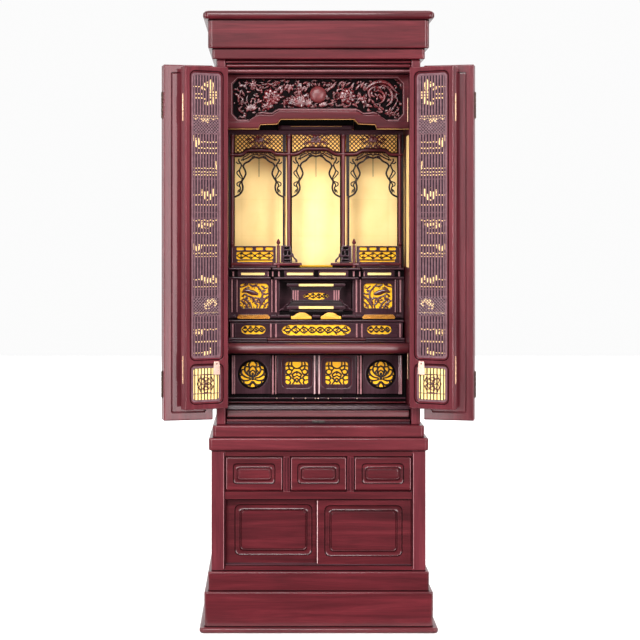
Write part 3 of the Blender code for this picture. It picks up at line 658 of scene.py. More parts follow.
class Relief:
    """Carved relief on a grid: primitives raise it, and its outline is cut
    along the level where they end."""

    def __init__(self, x0, x1, z0, z1, step):
        self.xs = np.arange(x0, x1 + step / 2, step)
        self.zs = np.arange(z0, z1 + step / 2, step)
        self.step = step
        self.X, self.Z = np.meshgrid(self.xs, self.zs)
        self.R = np.full(self.X.shape, -3.0)
        self.H = np.zeros(self.X.shape)
        self.L = np.zeros(self.X.shape)

    def _window(self, x0, x1, z0, z1):
        i0, i1 = np.searchsorted(self.xs, (x0, x1))
        j0, j1 = np.searchsorted(self.zs, (z0, z1))
        if i1 - i0 < 1 or j1 - j0 < 1:
            return None
        return slice(j0, j1), slice(i0, i1)

    def _raise(self, win, r, level, h):
        """Adds a form: r is the distance inside it, h its height there."""
        R, H, L = self.R[win], self.H[win], self.L[win]
        R[:] = np.maximum(R, r)
        top = (r > 0) & (h > H)
        H[top] = h[top]
        L[top] = level

    def blob(self, cx, cz, a, b, angle=0.0, level=0.0, rise=3.0, ridge=0.0):
        reach = max(a, b) + 2 * self.step
        win = self._window(cx - reach, cx + reach, cz - reach, cz + reach)
        if win is None:
            return
        x, z = self.X[win] - cx, self.Z[win] - cz
        c, s = math.cos(angle), math.sin(angle)
        u, w = (x * c + z * s) / a, (-x * s + z * c) / b
        d = np.sqrt(u * u + w * w)
        r = (1 - d) * min(a, b)
        h = level + rise * np.sqrt(np.clip(1 - d * d, 0, 1))
        if ridge:
            h -= ridge * np.exp(-(w * b / 0.9) ** 2) * np.clip(1 - abs(u), 0,
                                                              1)
        self._raise(win, r, level, h)

    def stroke(self, path, widths, level=0.0, rise=3.0, vein=0.0, flat=0.0):
        """A tapering limb along a path, widths at each point."""
        pts = np.array(path, float)
        w = np.interp(np.linspace(0, 1, len(pts)),
                      np.linspace(0, 1, len(widths)), widths) / 2
        reach = w.max() + 2 * self.step
        win = self._window(pts[:, 0].min() - reach, pts[:, 0].max() + reach,
                           pts[:, 1].min() - reach, pts[:, 1].max() + reach)
        if win is None:
            return
        x, z = self.X[win], self.Z[win]
        best = np.full(x.shape, -3.0)
        q = np.zeros(x.shape)
        near = np.full(x.shape, 1e9)
        for (px, pz), (qx, qz), r0, r1 in zip(pts[:-1], pts[1:], w[:-1],
                                              w[1:]):
            dx, dz = qx - px, qz - pz
            length = dx * dx + dz * dz + 1e-9
            t = np.clip(((x - px) * dx + (z - pz) * dz) / length, 0, 1)
            d = np.hypot(x - px - t * dx, z - pz - t * dz)
            r = r0 + (r1 - r0) * t
            inside = r - d
            share = np.clip(1 - (d / np.maximum(r, 0.05)) ** 2, 0, 1)
            better = inside > best
            best = np.where(better, inside, best)
            q = np.where(better, share, q)
            near = np.minimum(near, d)
        h = level + rise * (np.sqrt(q) * (1 - flat)
                            + flat * np.clip(best / 0.8, 0, 1))
        if vein:
            h -= vein * np.exp(-(near / 0.8) ** 2)
        self._raise(win, best, level, h)

    def leaf(self, x, z, length, width, angle, level=0.0, rise=3.0,
             bend=0.25, vein=0.9):
        c, s = math.cos(angle), math.sin(angle)
        path = []
        for t in np.linspace(0, 1, 7):
            u, v = length * t, bend * length * t * (1 - t) * 1.6
            path.append((x + u * c - v * s, z + u * s + v * c))
        widths = [width * v for v in (0.25, 0.8, 1.0, 0.95, 0.7, 0.4, 0.08)]
        self.stroke(path, widths, level, rise, vein)

    def scroll(self, x, z, radius, turns, start, width, level=0.0, rise=3.0,
               way=1):
        path, widths = [], []
        n = max(int(turns * 16), 8)
        for k in range(n + 1):
            t = k / n
            r = radius * (1 - 0.82 * t)
            a = start + way * turns * 2 * math.pi * t
            path.append((x + r * math.cos(a), z + r * math.sin(a)))
            widths.append(width * (1 - 0.45 * t))
        self.stroke(path, widths, level, rise)
        self.blob(path[-1][0], path[-1][1], width * 0.5, width * 0.5, 0,
                  level, rise * 1.15)

    def flower(self, x, z, r, petals=6, level=0.0, rise=4.0, turn=0.0,
               squash=1.0, layers=2):
        for layer in range(layers):
            size = 1 - 0.36 * layer
            for k in range(petals):
                a = turn + 2 * math.pi * (k + 0.5 * layer) / petals
                px = x + 0.56 * r * size * math.cos(a)
                pz = z + 0.56 * r * size * math.sin(a) * squash
                self.blob(px, pz, 0.50 * r * size, 0.30 * r * size,
                          math.atan2(math.sin(a) * squash, math.cos(a)),
                          level + layer * rise * 0.33, rise * 0.75, 0.8)
        self.blob(x, z, 0.2 * r, 0.2 * r * squash, 0,
                  level + rise * 0.5 * layers * 0.6, rise * 0.8)

    def clip(self, r):
        """Keeps only what is inside: r is the distance inside the limit."""
        self.R = np.minimum(self.R, r)

    def add_to(self, shape, f0, mat, matrix=None):
        """Cuts the outline, closes the back and adds the solid."""
        R, nz, nx = self.R, len(self.zs), len(self.xs)
        inside = R > 0
        ids = np.full(R.shape, -1)
        ids[inside] = np.arange(inside.sum())
        fx, fz, fh = (list(self.X[inside]), list(self.Z[inside]),
                      list(np.maximum(self.H[inside], 0.15)))
        c00, c10 = inside[:-1, :-1], inside[:-1, 1:]
        c11, c01 = inside[1:, 1:], inside[1:, :-1]
        full = c00 & c10 & c11 & c01
        some = (c00 | c10 | c11 | c01) & ~full
        jj, ii = np.nonzero(full)
        faces = np.stack([ids[jj, ii], ids[jj, ii + 1], ids[jj + 1, ii + 1],
                          ids[jj + 1, ii]], 1).tolist()
        crossing, rim = {}, []

        def cross(a, b):
            key = (a, b) if a < b else (b, a)
            if key not in crossing:
                (ja, ia), (jb, ib) = key
                ra, rb = R[ja, ia], R[jb, ib]
                t = min(max(ra / (ra - rb), 0.04), 0.96)
                fx.append(self.xs[ia] + (self.xs[ib] - self.xs[ia]) * t)
                fz.append(self.zs[ja] + (self.zs[jb] - self.zs[ja]) * t)
                level = self.L[ja, ia] if ra > 0 else self.L[jb, ib]
                fh.append(max(level, 0.15))
                crossing[key] = len(fx) - 1
            return crossing[key]

        for j, i in zip(*np.nonzero(some)):
            corners = [(j, i), (j, i + 1), (j + 1, i + 1), (j + 1, i)]
            poly, marks = [], []
            for k in range(4):
                a, b = corners[k], corners[(k + 1) % 4]
                if inside[a]:
                    poly.append(int(ids[a]))
                    marks.append(False)
                if inside[a] != inside[b]:
                    poly.append(cross(a, b))
                    marks.append(True)
            if len(poly) < 3:
                continue
            faces.append(poly)
            m = len(poly)
            # an edge between two crossings is part of the rim
            for k in range(m):
                if marks[k] and marks[(k + 1) % m]:
                    rim.append((poly[k], poly[(k + 1) % m]))
        n = len(fx)
        fx, fz, fh = np.array(fx), np.array(fz), np.array(fh)
        front = np.stack([fx, -(f0 + fh), fz], 1)
        back = np.stack([fx, np.full(n, -f0), fz], 1)
        points = np.concatenate([front, back])
        if matrix is not None:
            m = np.array(matrix)
            points = points @ m[:3, :3].T + m[:3, 3]
        all_faces = [tuple(f) for f in faces]
        all_faces += [tuple(i + n for i in reversed(f)) for f in faces]
        all_faces += [(q, p, p + n, q + n) for p, q in rim]
        shape.add(points, all_faces, mat)


def hinge_leaf(shape, x, f, z0, z1, radius, mat, parts=3, gap=0.5):
    """Knuckles of a butt hinge round an upright pin, with the pin's heads."""
    height = (z1 - z0) / parts
    for k in range(parts):
        a, b = z0 + k * height + gap / 2, z0 + (k + 1) * height - gap / 2
        e = min(0.6, radius * 0.3)
        turned(shape, x, f, [(radius - e, a), (radius, a + e),
                             (radius, b - e), (radius - e, b)], mat, 14)
    turned(shape, x, f, [(radius * 0.55, z0 - 0.9), (radius * 0.7, z0 - 0.3),
                         (radius * 0.7, z1 + 0.3), (radius * 0.55, z1 + 0.9)],
           mat, 12)


# ------------------------------------------------------- base, waist, cornice
def moulded(name, nodes, half, front, z0, z1, corner, profile, mat="lacquer_x"):
    shape = Shape()
    tier(shape, half, front, z0, z1, corner, profile, mat)
    return shape.build(name, "cabinet", nodes)


FOOT_TOP = 14.5
moulded("foot_frame", ["foot"], 310.5, 42, 0, FOOT_TOP, 12,
        [(6.5, 0.0)] + rounded_profile(6.5, FOOT_TOP, 7)[1:-1] + [(6.5, 1.0)])
moulded("plinth_step_lower", ["plinth_lower"], 298.5, 30, 14.8, 105.0, 11,
        rounded_profile(2.0, 90.2, 3, 4.0))
moulded("plinth_step_upper", ["plinth_upper"], 289, 20, 105.3, 155.7, 9,
        rounded_profile(2.0, 50.4, 3, 4.5))
moulded("waist_step_lower", ["waist_lower"], 287, 22, 470.8, 504.3, 9,
        rounded_profile(5.0, 33.5, 5), "waist_x")
moulded("waist_step_upper", ["waist_upper"], 277, 12, 504.6, 536.0, 9,
        rounded_profile(3.0, 31.4, 4, 5.0), "waist_x")
moulded("cornice_lower_band", ["cornice_band"], 278, 15, 1493.0, 1520.1, 7,
        rounded_profile(3.0, 27.1, 4, 1.2))
moulded("cornice_middle_frieze", ["cornice_frieze"], 288.5, 25, 1520.4,
        1594.7, 12, rounded_profile(4.0, 74.3, 4, 2.0))
moulded("cornice_top_crown", ["cornice_crown"], 301.5, 35, 1595.0, 1618.4, 14,
        rounded_profile(9.0, 23.4, 8, 11.0))

# painted shadow: dark strips at the tiers' joints and under the rails, dark
# lines round the drawer and cupboard openings and down the drawer stiles
joint_shadows = Shape()
slab(joint_shadows, -242.6, 242.6, -30, -22.6, 571.4, 574.4, 0.4, "ground", 1)
slab(joint_shadows, -242.6, 242.6, -30, -19.0, 550.6, 553.6, 0.4, "ground", 1)
for half, top, z0, z1, corner in (
        (298.5, 30, 14.9, 16.8, 11), (289, 20, 105.4, 107.4, 9),
        (280, 12, 156.1, 158.2, 3), (280, 12, 468.0, 470.4, 3),
        (277, 12, 504.7, 506.6, 9), (278, 15, 1517.4, 1520.0, 7),
        (288.5, 25, 1591.6, 1594.6, 12)):
    tier(joint_shadows, half + 0.15, top + 0.15, z0, z1, corner,
         [(0.3, 0.0), (0.0, 0.2), (0.0, 0.8), (0.3, 1.0)], "ground", -457)
for x0, x1, z0, z1 in ((-243.0, -93.5, 364.8, 454.2),
                       (-73.5, 73.5, 364.8, 454.2),
                       (93.5, 243.0, 364.8, 454.2),
                       (-243.0, 243.0, 170.6, 342.0)):
    stem(joint_shadows, [(x0 - 0.7, z0 - 0.7), (x1 + 0.7, z0 - 0.7),
                   (x1 + 0.7, z1 + 0.7), (x0 - 0.7, z1 + 0.7)], 1.9, 12.0,
         "ground", 0.9, 6, closed=True)
for s in (1, -1):
    for x in (79.6, 87.4):
        stem(joint_shadows, [(s * x, 366.5), (s * x, 452.5)], 1.7, 12.0, "ground",
             0.8, 6)
    # a painted shadow line and a painted pink highlight line down each corner
    # post
    for x, mat, w in ((245.6, "ground", 1.7), (248.2, "rose", 1.3)):
        stem(joint_shadows, [(s * x, 162), (s * x, 464)], w, 12.0, mat, 0.8, 6)
joint_shadows.build("painted_joint_shadows", "cabinet", weighted=False)

# -------------------------------------------------------------- lower cabinet
body = Shape()
for s in (-1, 1):
    x0, x1 = sorted((s * 243.0, s * 280.0))
    slab(body, x0, x1, -30, 12, 156, 470.5, 2.6, "lacquer_z", 4)
slab(body, -243.4, 243.4, -30, 10.6, 454, 470.5, 1.2, "lacquer_x", 3)
slab(body, -243.4, 243.4, -30, 10.6, 341.4, 365, 1.6, "lacquer_x", 3)
slab(body, -243.4, 243.4, -30, 11.2, 156, 171, 1.4, "lacquer_x", 3)
for s in (-1, 1):
    x0, x1 = sorted((s * 73.5, s * 93.5))
    slab(body, x0, x1, -30, 10.8, 364.6, 454.4, 1.6, "lacquer_z", 3)
body.build("lower_front", "cabinet", ["lower_front_frame"])

box = Shape()
for s in (-1, 1):
    x0, x1 = sorted((s * 265.0, s * 280.0))
    slab(box, x0, x1, -445.7, -30.3, 156, 470.5, 1.0, "lacquer_y", 2)
box.build("lower_sides", "cabinet", ["lower_side_left", "lower_side_right"])
box = Shape()
slab(box, -280, 280, -458, -446, 156, 470.5, 0.8, "board", 2)
for k in range(3):
    z = 190 + k * 122
    slab(box, -262, 262, -457.9, -455, z - 11, z + 11, 0.8, "board", 2)
box.build("lower_rear_board", "cabinet", ["lower_back"])
box = Shape()
slab(box, -264.7, 264.7, -445.7, -30.3, 156, 170, 0.8, "inner_x", 2)
slab(box, -264.7, 264.7, -445.7, -30.3, 352, 364.4, 0.8, "inner_x", 2)
# two tracks that the doors slide in
for f in (-24.2, -9.2, 5.9):
    slab(box, -242.6, 242.6, f - 0.7, f + 0.7, 170.6, 172.6, 0.3, "inner_x", 1)
box.build("lower_floor_and_shelf", "cabinet", ["lower_floor", "lower_shelf"])

FRONT = 10.0
for name, x0, x1 in (("left", -243.0, -93.5), ("center", -73.5, 73.5),
                     ("right", 93.5, 243.0)):
    a, b, z0, z1 = x0 + 1, x1 - 1, 365.8, 453.2
    mid, zm = (a + b) / 2, (z0 + z1) / 2
    d = Shape()

    def rect(hx, hz, r, f):
        return (mid - hx, mid + hx, zm - hz, zm + hz, r, f)

    hx, hz = (b - a) / 2, (z1 - z0) / 2
    steps = [rect(hx - 0.4, hz - 0.4, 0.6, -8.0), rect(hx, hz, 0.8, -7.4)]
    steps += [rect(hx - 4.2 * (1 - math.cos(t)), hz - 4.2 * (1 - math.cos(t)),
                   1.2, FRONT - 3.4 * (1 - math.sin(t)))
              for t in arc_steps(6)]
    # the face, a round-bottomed sunk ring, and the raised middle with a
    # second fine groove
    ring0x, ring0z, ring1x, ring1z = 55.4, 27.2, 43.6, 15.2
    for k in range(9):
        t = math.pi * k / 8
        share = (1 - math.cos(t)) / 2
        steps.append(rect(ring0x + (ring1x - ring0x) * share,
                          ring0z + (ring1z - ring0z) * share,
                          9.5 - 2.5 * share, FRONT - 3.6 * math.sin(t) ** 0.8
                          - 0.3 * share))
    steps += [rect(41.6, 13.2, 5.8, FRONT - 0.2),
              rect(40.6, 12.2, 5.4, FRONT - 0.8),
              rect(39.6, 11.2, 5.0, FRONT - 0.2),
              rect(31.0, 6.4, 4.0, FRONT)]
    ring_panel(d, steps, "lacquer_x", 8)
    # painted highlight: pale pink rods down both side edges
    for x in (a + 2.2, b - 2.2):
        rod(d, [(x, FRONT - 1.5, z0 + 3), (x, FRONT - 1.5, z1 - 3)], 1.3,
            "rose", 8)
    # painted shade: dark lines in the grooves round the ring and the raised
    # middle
    for hx_, hz_, r_, w in ((54.6, 26.4, 9.2, 2.6), (44.5, 16.1, 7.3, 1.8),
                            (40.6, 12.2, 5.4, 1.1)):
        stem(d, rrect(mid - hx_, mid + hx_, zm - hz_, zm + hz_, r_, 6), w,
             FRONT - 1.2, "ground", 1.7, 6, closed=True)
    # the box behind it
    w0, w1, low, high = a + 2, b - 2, 367.0, 442.0
    slab(d, w0, w0 + 8, -390, -7, low, high, 0.6, "board", 1)
    slab(d, w1 - 8, w1, -390, -7, low, high, 0.6, "board", 1)
    slab(d, w0 + 7.6, w1 - 7.6, -390, -382, low, high, 0.6, "board", 1)
    slab(d, w0 + 7.6, w1 - 7.6, -14, -7, low, high, 0.6, "board", 1)
    slab(d, w0 + 7, w1 - 7, -383, -13, low + 1, low + 7, 0.4, "board", 1)
    d.build("drawer_front_" + name, name + "_drawer_box", ["drawer_" + name])

for name, x0, x1, f, inset in (
        ("left", -242.5, 4.0, -10.0, (22.5, 19.5)),
        ("right", -4.0, 242.5, 5.0, (19.5, 22.5))):
    d = Shape()
    z0, z1 = 171.6, 340.8
    o0, o1 = x0 + inset[0], x1 - inset[1]
    p0, p1 = z0 + 20.5, z1 - 14.5
    steps = [(x0 + 0.5, x1 - 0.5, z0 + 0.5, z1 - 0.5, 0.6, f - 13),
             (x0, x1, z0, z1, 0.8, f - 12.4)]
    steps += [(x0 + 1.6 * (1 - math.cos(t)), x1 - 1.6 * (1 - math.cos(t)),
               z0 + 1.6 * (1 - math.cos(t)), z1 - 1.6 * (1 - math.cos(t)),
               1.0, f - 1.6 * (1 - math.sin(t))) for t in arc_steps(4)]
    for k in range(9):
        t = math.pi * k / 8
        share = (1 - math.cos(t)) / 2
        g = 15.5 * share
        steps.append((o0 + g, o1 - g, p0 + g * 0.92, p1 - g * 0.92,
                      14 - 5 * share, f - 3.4 * math.sin(t) ** 0.8
                      - 0.3 * share))
    for g, df, r in ((17.0, 0.3, 8.6), (18.2, 1.2, 8.2), (19.4, 0.3, 7.8),
                     (34.0, 0.2, 6.0)):
        steps.append((o0 + g, o1 - g, p0 + g * 0.92, p1 - g * 0.92, r, f - df))
    ring_panel(d, steps, "lacquer_x", 8)
    # painted highlight: a near-white pink rod down the right door's left edge
    if name == "right":
        rod(d, [(x0 + 1.5, f - 1.2, z0 + 3), (x0 + 1.5, f - 1.2, z1 - 3)],
            1.4, "blush", 8)
    # painted shade: dark lines in the grooves of the panel
    for g, w in ((0.9, 2.6), (14.6, 1.9), (18.2, 1.1)):
        stem(d, rrect(o0 + g, o1 - g, p0 + g * 0.92, p1 - g * 0.92,
                      14 - 0.32 * g, 6), w, f - 1.2, "ground", 1.7, 6,
             closed=True)
    d.build("cupboard_door_" + name, name + "_cupboard_door",
            ["sliding_door_" + name])

# ---------------------------------------------------------------- altar body
posts = Shape()
for s in (-1, 1):
    x0, x1 = sorted((s * 243.3, s * 267.5))
    slab(posts, x0, x1, -30, 0, 536.3, 1492.7, 3.4, "lacquer_z", 5)
posts.build("altar_front_posts", "cabinet",
            ["altar_post_left", "altar_post_right"])
walls = Shape()
for s in (-1, 1):
    x0, x1 = sorted((s * 243.3, s * 262.0))
    slab(walls, x0, x1, -443.7, -30.3, 536.3, 1492.7, 1.0, "lacquer_z", 2)
walls.build("altar_walls", "cabinet", ["altar_side_left", "altar_side_right"])
lining = Shape()
for s in (-1, 1):
    x0, x1 = sorted((s * 242.4, s * 243.2))
    slab(lining, x0, x1, -140, -74, 946, 1300, 0.2, "gold_pale", 1)
lining.build("gilt_wall_lining", "cabinet", slot="gold_leaf")
rear = Shape()
slab(rear, -262, 262, -456, -444, 536.3, 1492.7, 0.8, "board", 2)
for z in (560, 860, 1160, 1468):
    slab(rear, -258, 258, -457.8, -455, z - 13, z + 13, 0.8, "board", 2)
for x in (-246, 0, 246):
    slab(rear, x - 12, x + 12, -457.2, -455, 573, 1455, 0.8, "board", 2)
rear.build("altar_rear_board", "cabinet", ["altar_back"])
lid = Shape()
slab(lid, -243, 243, -443.7, -40.3, 1476, 1492.7, 0.8, "inner_x", 2)
lid.build("altar_inner_ceiling", "cabinet", ["altar_ceiling"],
          slot="dark_lacquer")

rails = Shape()
slab(rails, -243, 243, -40, -20.5, 1459.9, 1491, 0.6, "inner_x", 2)
slab(rails, -243, 243, -26, -2, 1484.2, 1490.6, 3.0, "lacquer_x", 5)
# dark strips painted as the shadow gaps between the mouldings, and a pink strip
# painted as a highlight on the lowest moulding
slab(rails, -243, 243, -26, -5, 1482.3, 1484.4, 0.6, "ground", 2)
slab(rails, -243, 243, -26, -6, 1473.4, 1482.2, 3.8, "lacquer_x", 5)
slab(rails, -243, 243, -26, -13, 1470.8, 1473.2, 0.4, "ground", 1)
slab(rails, -243, 243, -26, -19.2, 1460.2, 1470.6, 1.6, "lacquer_x", 4)
slab(rails, -243, 243, -26, -18.4, 1464.6, 1466.8, 1.0, "rose", 3)
rails.build("altar_head_rails", "cabinet", ["altar_top_rails"])

# ------------------------------------------------------------------- transom
def mm(points, f):
    """Photograph points as (x, z) at depth f."""
    return [(PX(x, f), PZ(y, f)) for x, y in points]


def both(half):
    """A whole outline from its right half, listed from the top middle."""
    return list(half) + [(-x, z) for x, z in reversed(half)]


def flip(points):
    return [(-x, z) for x, z in points]


open_half = [(211.1, 1448.4), (224.4, 1434.3), (224.4, 1356.7), (211, 1341.8)]
open_half += [tuple(p) for p in smooth_path(
    [(184, 1341.8), (173, 1349.5), (164, 1356.4), (156.5, 1360.6),
     (148, 1362.3), (134, 1360.9), (122, 1360.4), (113.5, 1366.5),
     (102.9, 1371.0)], 4)]
hole = both(open_half)
low_half = [(243, 1459.7), (243, 1326), (163, 1326), (150, 1337),
            (112, 1341), (100, 1352)]
transom = Shape()
board(transom, [both(low_half), hole], -72, -62.4, "lacquer_x", 1.8, 4)
board(transom, [both(low_half), inset_loop(hole, 4.4)], -66, -59.4,
      "lacquer_x", 1.3, 3)
slab(transom, -242.6, 242.6, -64, -58.2, 1453.6, 1459.7, 1.6, "lacquer_x", 3)
ogee_top = [tuple(p) for p in smooth_path(
    [(102.9, 1363.1), (111.6, 1359.4), (120.4, 1353.4), (134, 1352.8),
     (148.6, 1354.3), (158, 1353.2), (166.2, 1350.0), (173.3, 1344.4),
     (185.6, 1335.7)], 4)]
ogee_low = [(156.6, 1316.9), (155.5, 1322.4), (152, 1327.7), (107.9, 1329.5),
            (102.9, 1335.7), (97.5, 1341.8)]
board(transom, [both(ogee_top + [(242.8, 1335.7), (242.8, 1316.6)]
                     + ogee_low)], -68, -56.6, "lacquer_x", 2.6, 5)
line = [(242.5, 1315.9), (157.0, 1316.2)] + ogee_low[1:]
line = [(x, z - 0.9) for x, z in line]
stem(transom, line + flip(line)[::-1], 1.5, -62.5, "gold_edge", 5.0, 6)
# painted shadow: a dark line round the opening; painted highlight: a pink line
# just outside it
stem(transom, hole, 2.3, -61.9, "ground", 1.8, 6, closed=True)
stem(transom, inset_loop(hole, -4.2) if abs(signed_area(inset_loop(hole, -4.2)))
     > abs(signed_area(hole)) else inset_loop(hole, 4.2), 1.2, -59.2, "rose",
     1.2, 6, closed=True)
# painted shadow: dark lines along the ogee's crest
crest = [(x, z + 1.7) for x, z in ogee_top]
stem(transom, flip(crest)[::-1], 1.9, -58.9, "ground", 1.8, 6)
stem(transom, crest, 1.9, -58.9, "ground", 1.8, 6)
# a dark board behind the carving, painted as the shade seen through the
# openwork
shade_board_half = [(232, 1453), (232, 1334), (165, 1334), (152, 1345),
               (113, 1350), (101, 1360)]
board(transom, [both(shade_board_half)], -73.4, -71.6, "ground", 0.3, 1)
transom.build("transom_board", "cabinet", ["transom"])


def carved_transom():
    """Leaves, two full blooms and a curling plume round a polished disc."""
    g = Relief(-227, 227, 1340, 1450, 1.1)

    def at(px, py):
        return PX(px, -66), PZ(py, -66)

    def leaf(px, py, length, width, degrees, level=3.0, rise=3.4, bend=0.25):
        x, z = at(px, py)
        g.leaf(x, z, length * 1.12, width * 1.3, math.radians(degrees),
               level, rise + 1.0, bend, 1.3)

    def limb(points, widths, level=3.4, rise=3.6, vein=0.0):
        g.stroke(smooth_path([at(*p) for p in points], 5),
                 [w * 1.25 for w in widths], level, rise + 0.8, vein)

    r = random.Random(11)
    for _ in range(330):
        x, z = r.uniform(-222, 222), r.uniform(1346, 1446)
        if math.hypot(x, z - 1407) < 20:
            continue
        g.leaf(x, z, r.uniform(10, 19), r.uniform(4.0, 6.6),
               r.uniform(0, 2 * math.pi), r.uniform(0, 1.6), 3.2,
               r.uniform(-0.6, 0.6), 1.0)
    # foliage at the left end
    for px, py, n, a in ((239, 103, 19, 82), (241.5, 106, 22, 72),
                         (244.5, 104, 20, 100), (247.5, 103, 21, 84),
                         (238.5, 110, 14, 40), (243, 113, 20, 128),
                         (240.5, 95, 15, 76), (245, 96, 17, 110),
                         (237.8, 98, 11, 62), (247, 112, 15, 60)):
        leaf(px, py, n, 4.6, a, 2.6, 3.4, 0.35)
    for k in range(7):
        leaf(251.5, 110.5, 19, 6.0, 28 + 21 * k, 3.2, 3.4, 0.1)
    x, z = at(253.3, 85.2)
    for k in range(8):
        g.leaf(x, z, 15, 5.6, math.radians(45 * k + 8), 3.2, 3.6, 0.05, 1.0)
    g.blob(x, z, 4.5, 4.0, 0, 4.2, 3.6)
    limb([(258, 85.6), (264, 84.6), (268, 83.8), (271.5, 84.6), (274, 83),
          (279, 83.6)], [3.4, 4.6, 5.2, 6.4, 5.4, 3.0], 3.8, 3.6)
    limb([(271, 84), (274, 87.4), (279, 89), (283, 88)], [4, 4, 3, 2], 3.0)
    x, z = at(271.6, 96.3)
    g.flower(x, z, 22, 8, 3.2, 5.4, 0.2, 0.86, 3)
    for k in range(9):
        g.leaf(x, z, 25, 7, math.radians(40 * k + 15), 2.6, 3.0, 0.3, 1.0)
    x, z = at(266.6, 106.2)
    g.flower(x, z, 14, 7, 3.0, 4.2, 0.5, 0.55, 2)
    for px, py, n, w, a in ((277, 91, 22, 8, 38), (281, 94, 17, 7, 70),
                            (279, 98, 15, 6, 10), (261, 91, 15, 6, 150),
                            (262, 100, 16, 6, 200), (259, 96, 15, 6, 165),
                            (285, 90, 17, 6, 62), (289, 93, 20, 6.5, 76),
                            (293, 90, 18, 6.5, 112), (297, 88, 17, 6, 48),
                            (301, 90, 17, 6, 84), (305, 92, 16, 6, 58),
                            (287, 84.5, 14, 5, -50), (303, 84, 15, 5, 20),
                            (308, 88, 15, 6, 64), (309, 99, 14, 5, 96)):
        leaf(px, py, n, w, a)
    # a fan of blades beside the disc
    for k, a in enumerate((172, 160, 148, 134, 120, 107, 95, 84, 72)):
        leaf(301.5, 107.4, (54, 50, 46, 42, 40, 37, 36, 30, 24)[k], 7.2, a,
             3.0 + 0.15 * k, 3.8, -0.30)
    for k, a in enumerate((118, 100, 84, 68, 50)):
        leaf(308.5, 107, 22, 5.6, a, 3.6, 3.4, 0.2)
    for k, a in enumerate((20, 44, 66, 90, 124)):
        leaf(322, 107.2, (26, 20, 16, 13, 12)[k], 5.4, a, 3.0, 3.2, 0.25)
    # crown of small leaves over the disc
    for px, a in ((313, 120), (316, 96), (319, 78), (323, 40), (310, 150)):
        leaf(px, 86.6, 11, 4.6, a, 4.0, 3.0, 0.2)
    # right half
    for px, py, n, w, a in ((326, 86, 18, 6, 12), (327, 92, 16, 6, 52),
                            (329, 90, 24, 6, 36), (333, 88, 19, 5.6, 58),
                            (338, 87, 20, 5.4, 50), (343, 88, 20, 5.6, 62),
                            (346, 86, 17, 5, 34), (352, 89, 17, 6, 70),
                            (356, 90, 19, 6, 48), (361, 88, 20, 5.6, 58),
                            (364, 91, 16, 5, 80), (328, 100, 15, 5.6, 100),
                            (329, 105, 22, 5.6, 22), (337, 106.5, 24, 5, 8),
                            (352, 104, 17, 6, -30), (357, 100, 17, 7, 22),
                            (362, 102, 18, 7, -34), (366, 106, 17, 6, -12),
                            (361, 96, 13, 6, 120), (369, 103, 16, 6, 70)):
        leaf(px, py, n, w, a)
    x, z = at(347.5, 96.4)
    g.flower(x, z, 22, 8, 3.2, 5.6, 0.1, 0.84, 3)
    for k in range(9):
        g.leaf(x, z, 25, 7, math.radians(40 * k + 4), 2.6, 3.0, -0.3, 1.0)
    x, z = at(337.0, 97.0)
    g.scroll(x, z, 12.5, 1.2, 0.4, 5.4, 3.8, 3.4)
    x, z = at(363.5, 99.0)
    g.flower(x, z, 11, 6, 3.4, 4.4, 0.3, 0.9, 2)
    # the plume
    limb([(365, 90.5), (369, 86), (374, 83), (380, 81.6), (386, 82.6),
          (391, 86), (395.5, 91.5), (398, 93)],
         [2.5, 6, 8, 8.6, 8, 7, 5, 1.5], 4.2, 4.4, 1.4)
    limb([(370, 97.5), (368.6, 92.5), (371, 88.6), (375.4, 87), (379, 88.4)],
         [5, 6, 6.4, 5.4, 2.5], 4.2, 3.8)
    limb([(380, 84.6), (386, 86.4), (390.6, 90.6), (392.4, 96.4),
          (391, 102), (386.6, 106)], [2, 5, 6.4, 7, 6.6, 2.5], 4.4, 4.0, 1.2)
    limb([(374, 92), (378, 90.6), (382.4, 92.4), (384.6, 96.4), (383, 101),
          (379, 103.4)], [2, 4.6, 5.6, 5.8, 5, 2], 3.8, 3.6)
    limb([(377, 96.6), (379, 94.6), (381, 96.2), (380.4, 99)],
         [3, 4.4, 4.4, 2.5], 4.6, 3.8)
    x, z = at(381.6, 97.6)
    g.blob(x, z, 5.0, 5.0, 0, 4.6, 4.6)
    for px, py, n, a in ((394.5, 99, 18, 78), (396.5, 103, 16, 92),
                         (392.5, 108, 19, 60), (395, 112, 15, 48),
                         (389, 111, 17, 38), (384, 110, 17, 152),
                         (378, 108, 18, 140), (386, 114, 15, 12),
                         (392, 115, 12, 20), (374, 104, 15, 128),
                         (381, 113, 15, 170), (372, 107, 16, 158)):
        leaf(px, py, n, 4.8, a, 3.2, 3.6, -0.3)
    g.clip(np.minimum(g.Z - np.where(np.abs(g.X) < 106, 1361, 1340.5),
                      226 - np.abs(g.X)))
    shape = Shape()
    g.add_to(shape, -71.8, "carving")
    x, z = at(317.9, 94.6)
    dome(shape, x, -67.0, z, 22.2, 7.4, 22.2, "jewel", 44, 18)
    return shape


carved_transom().build("transom_carving", "cabinet", slot="carved_wood",
                       angle=60, weighted=False)

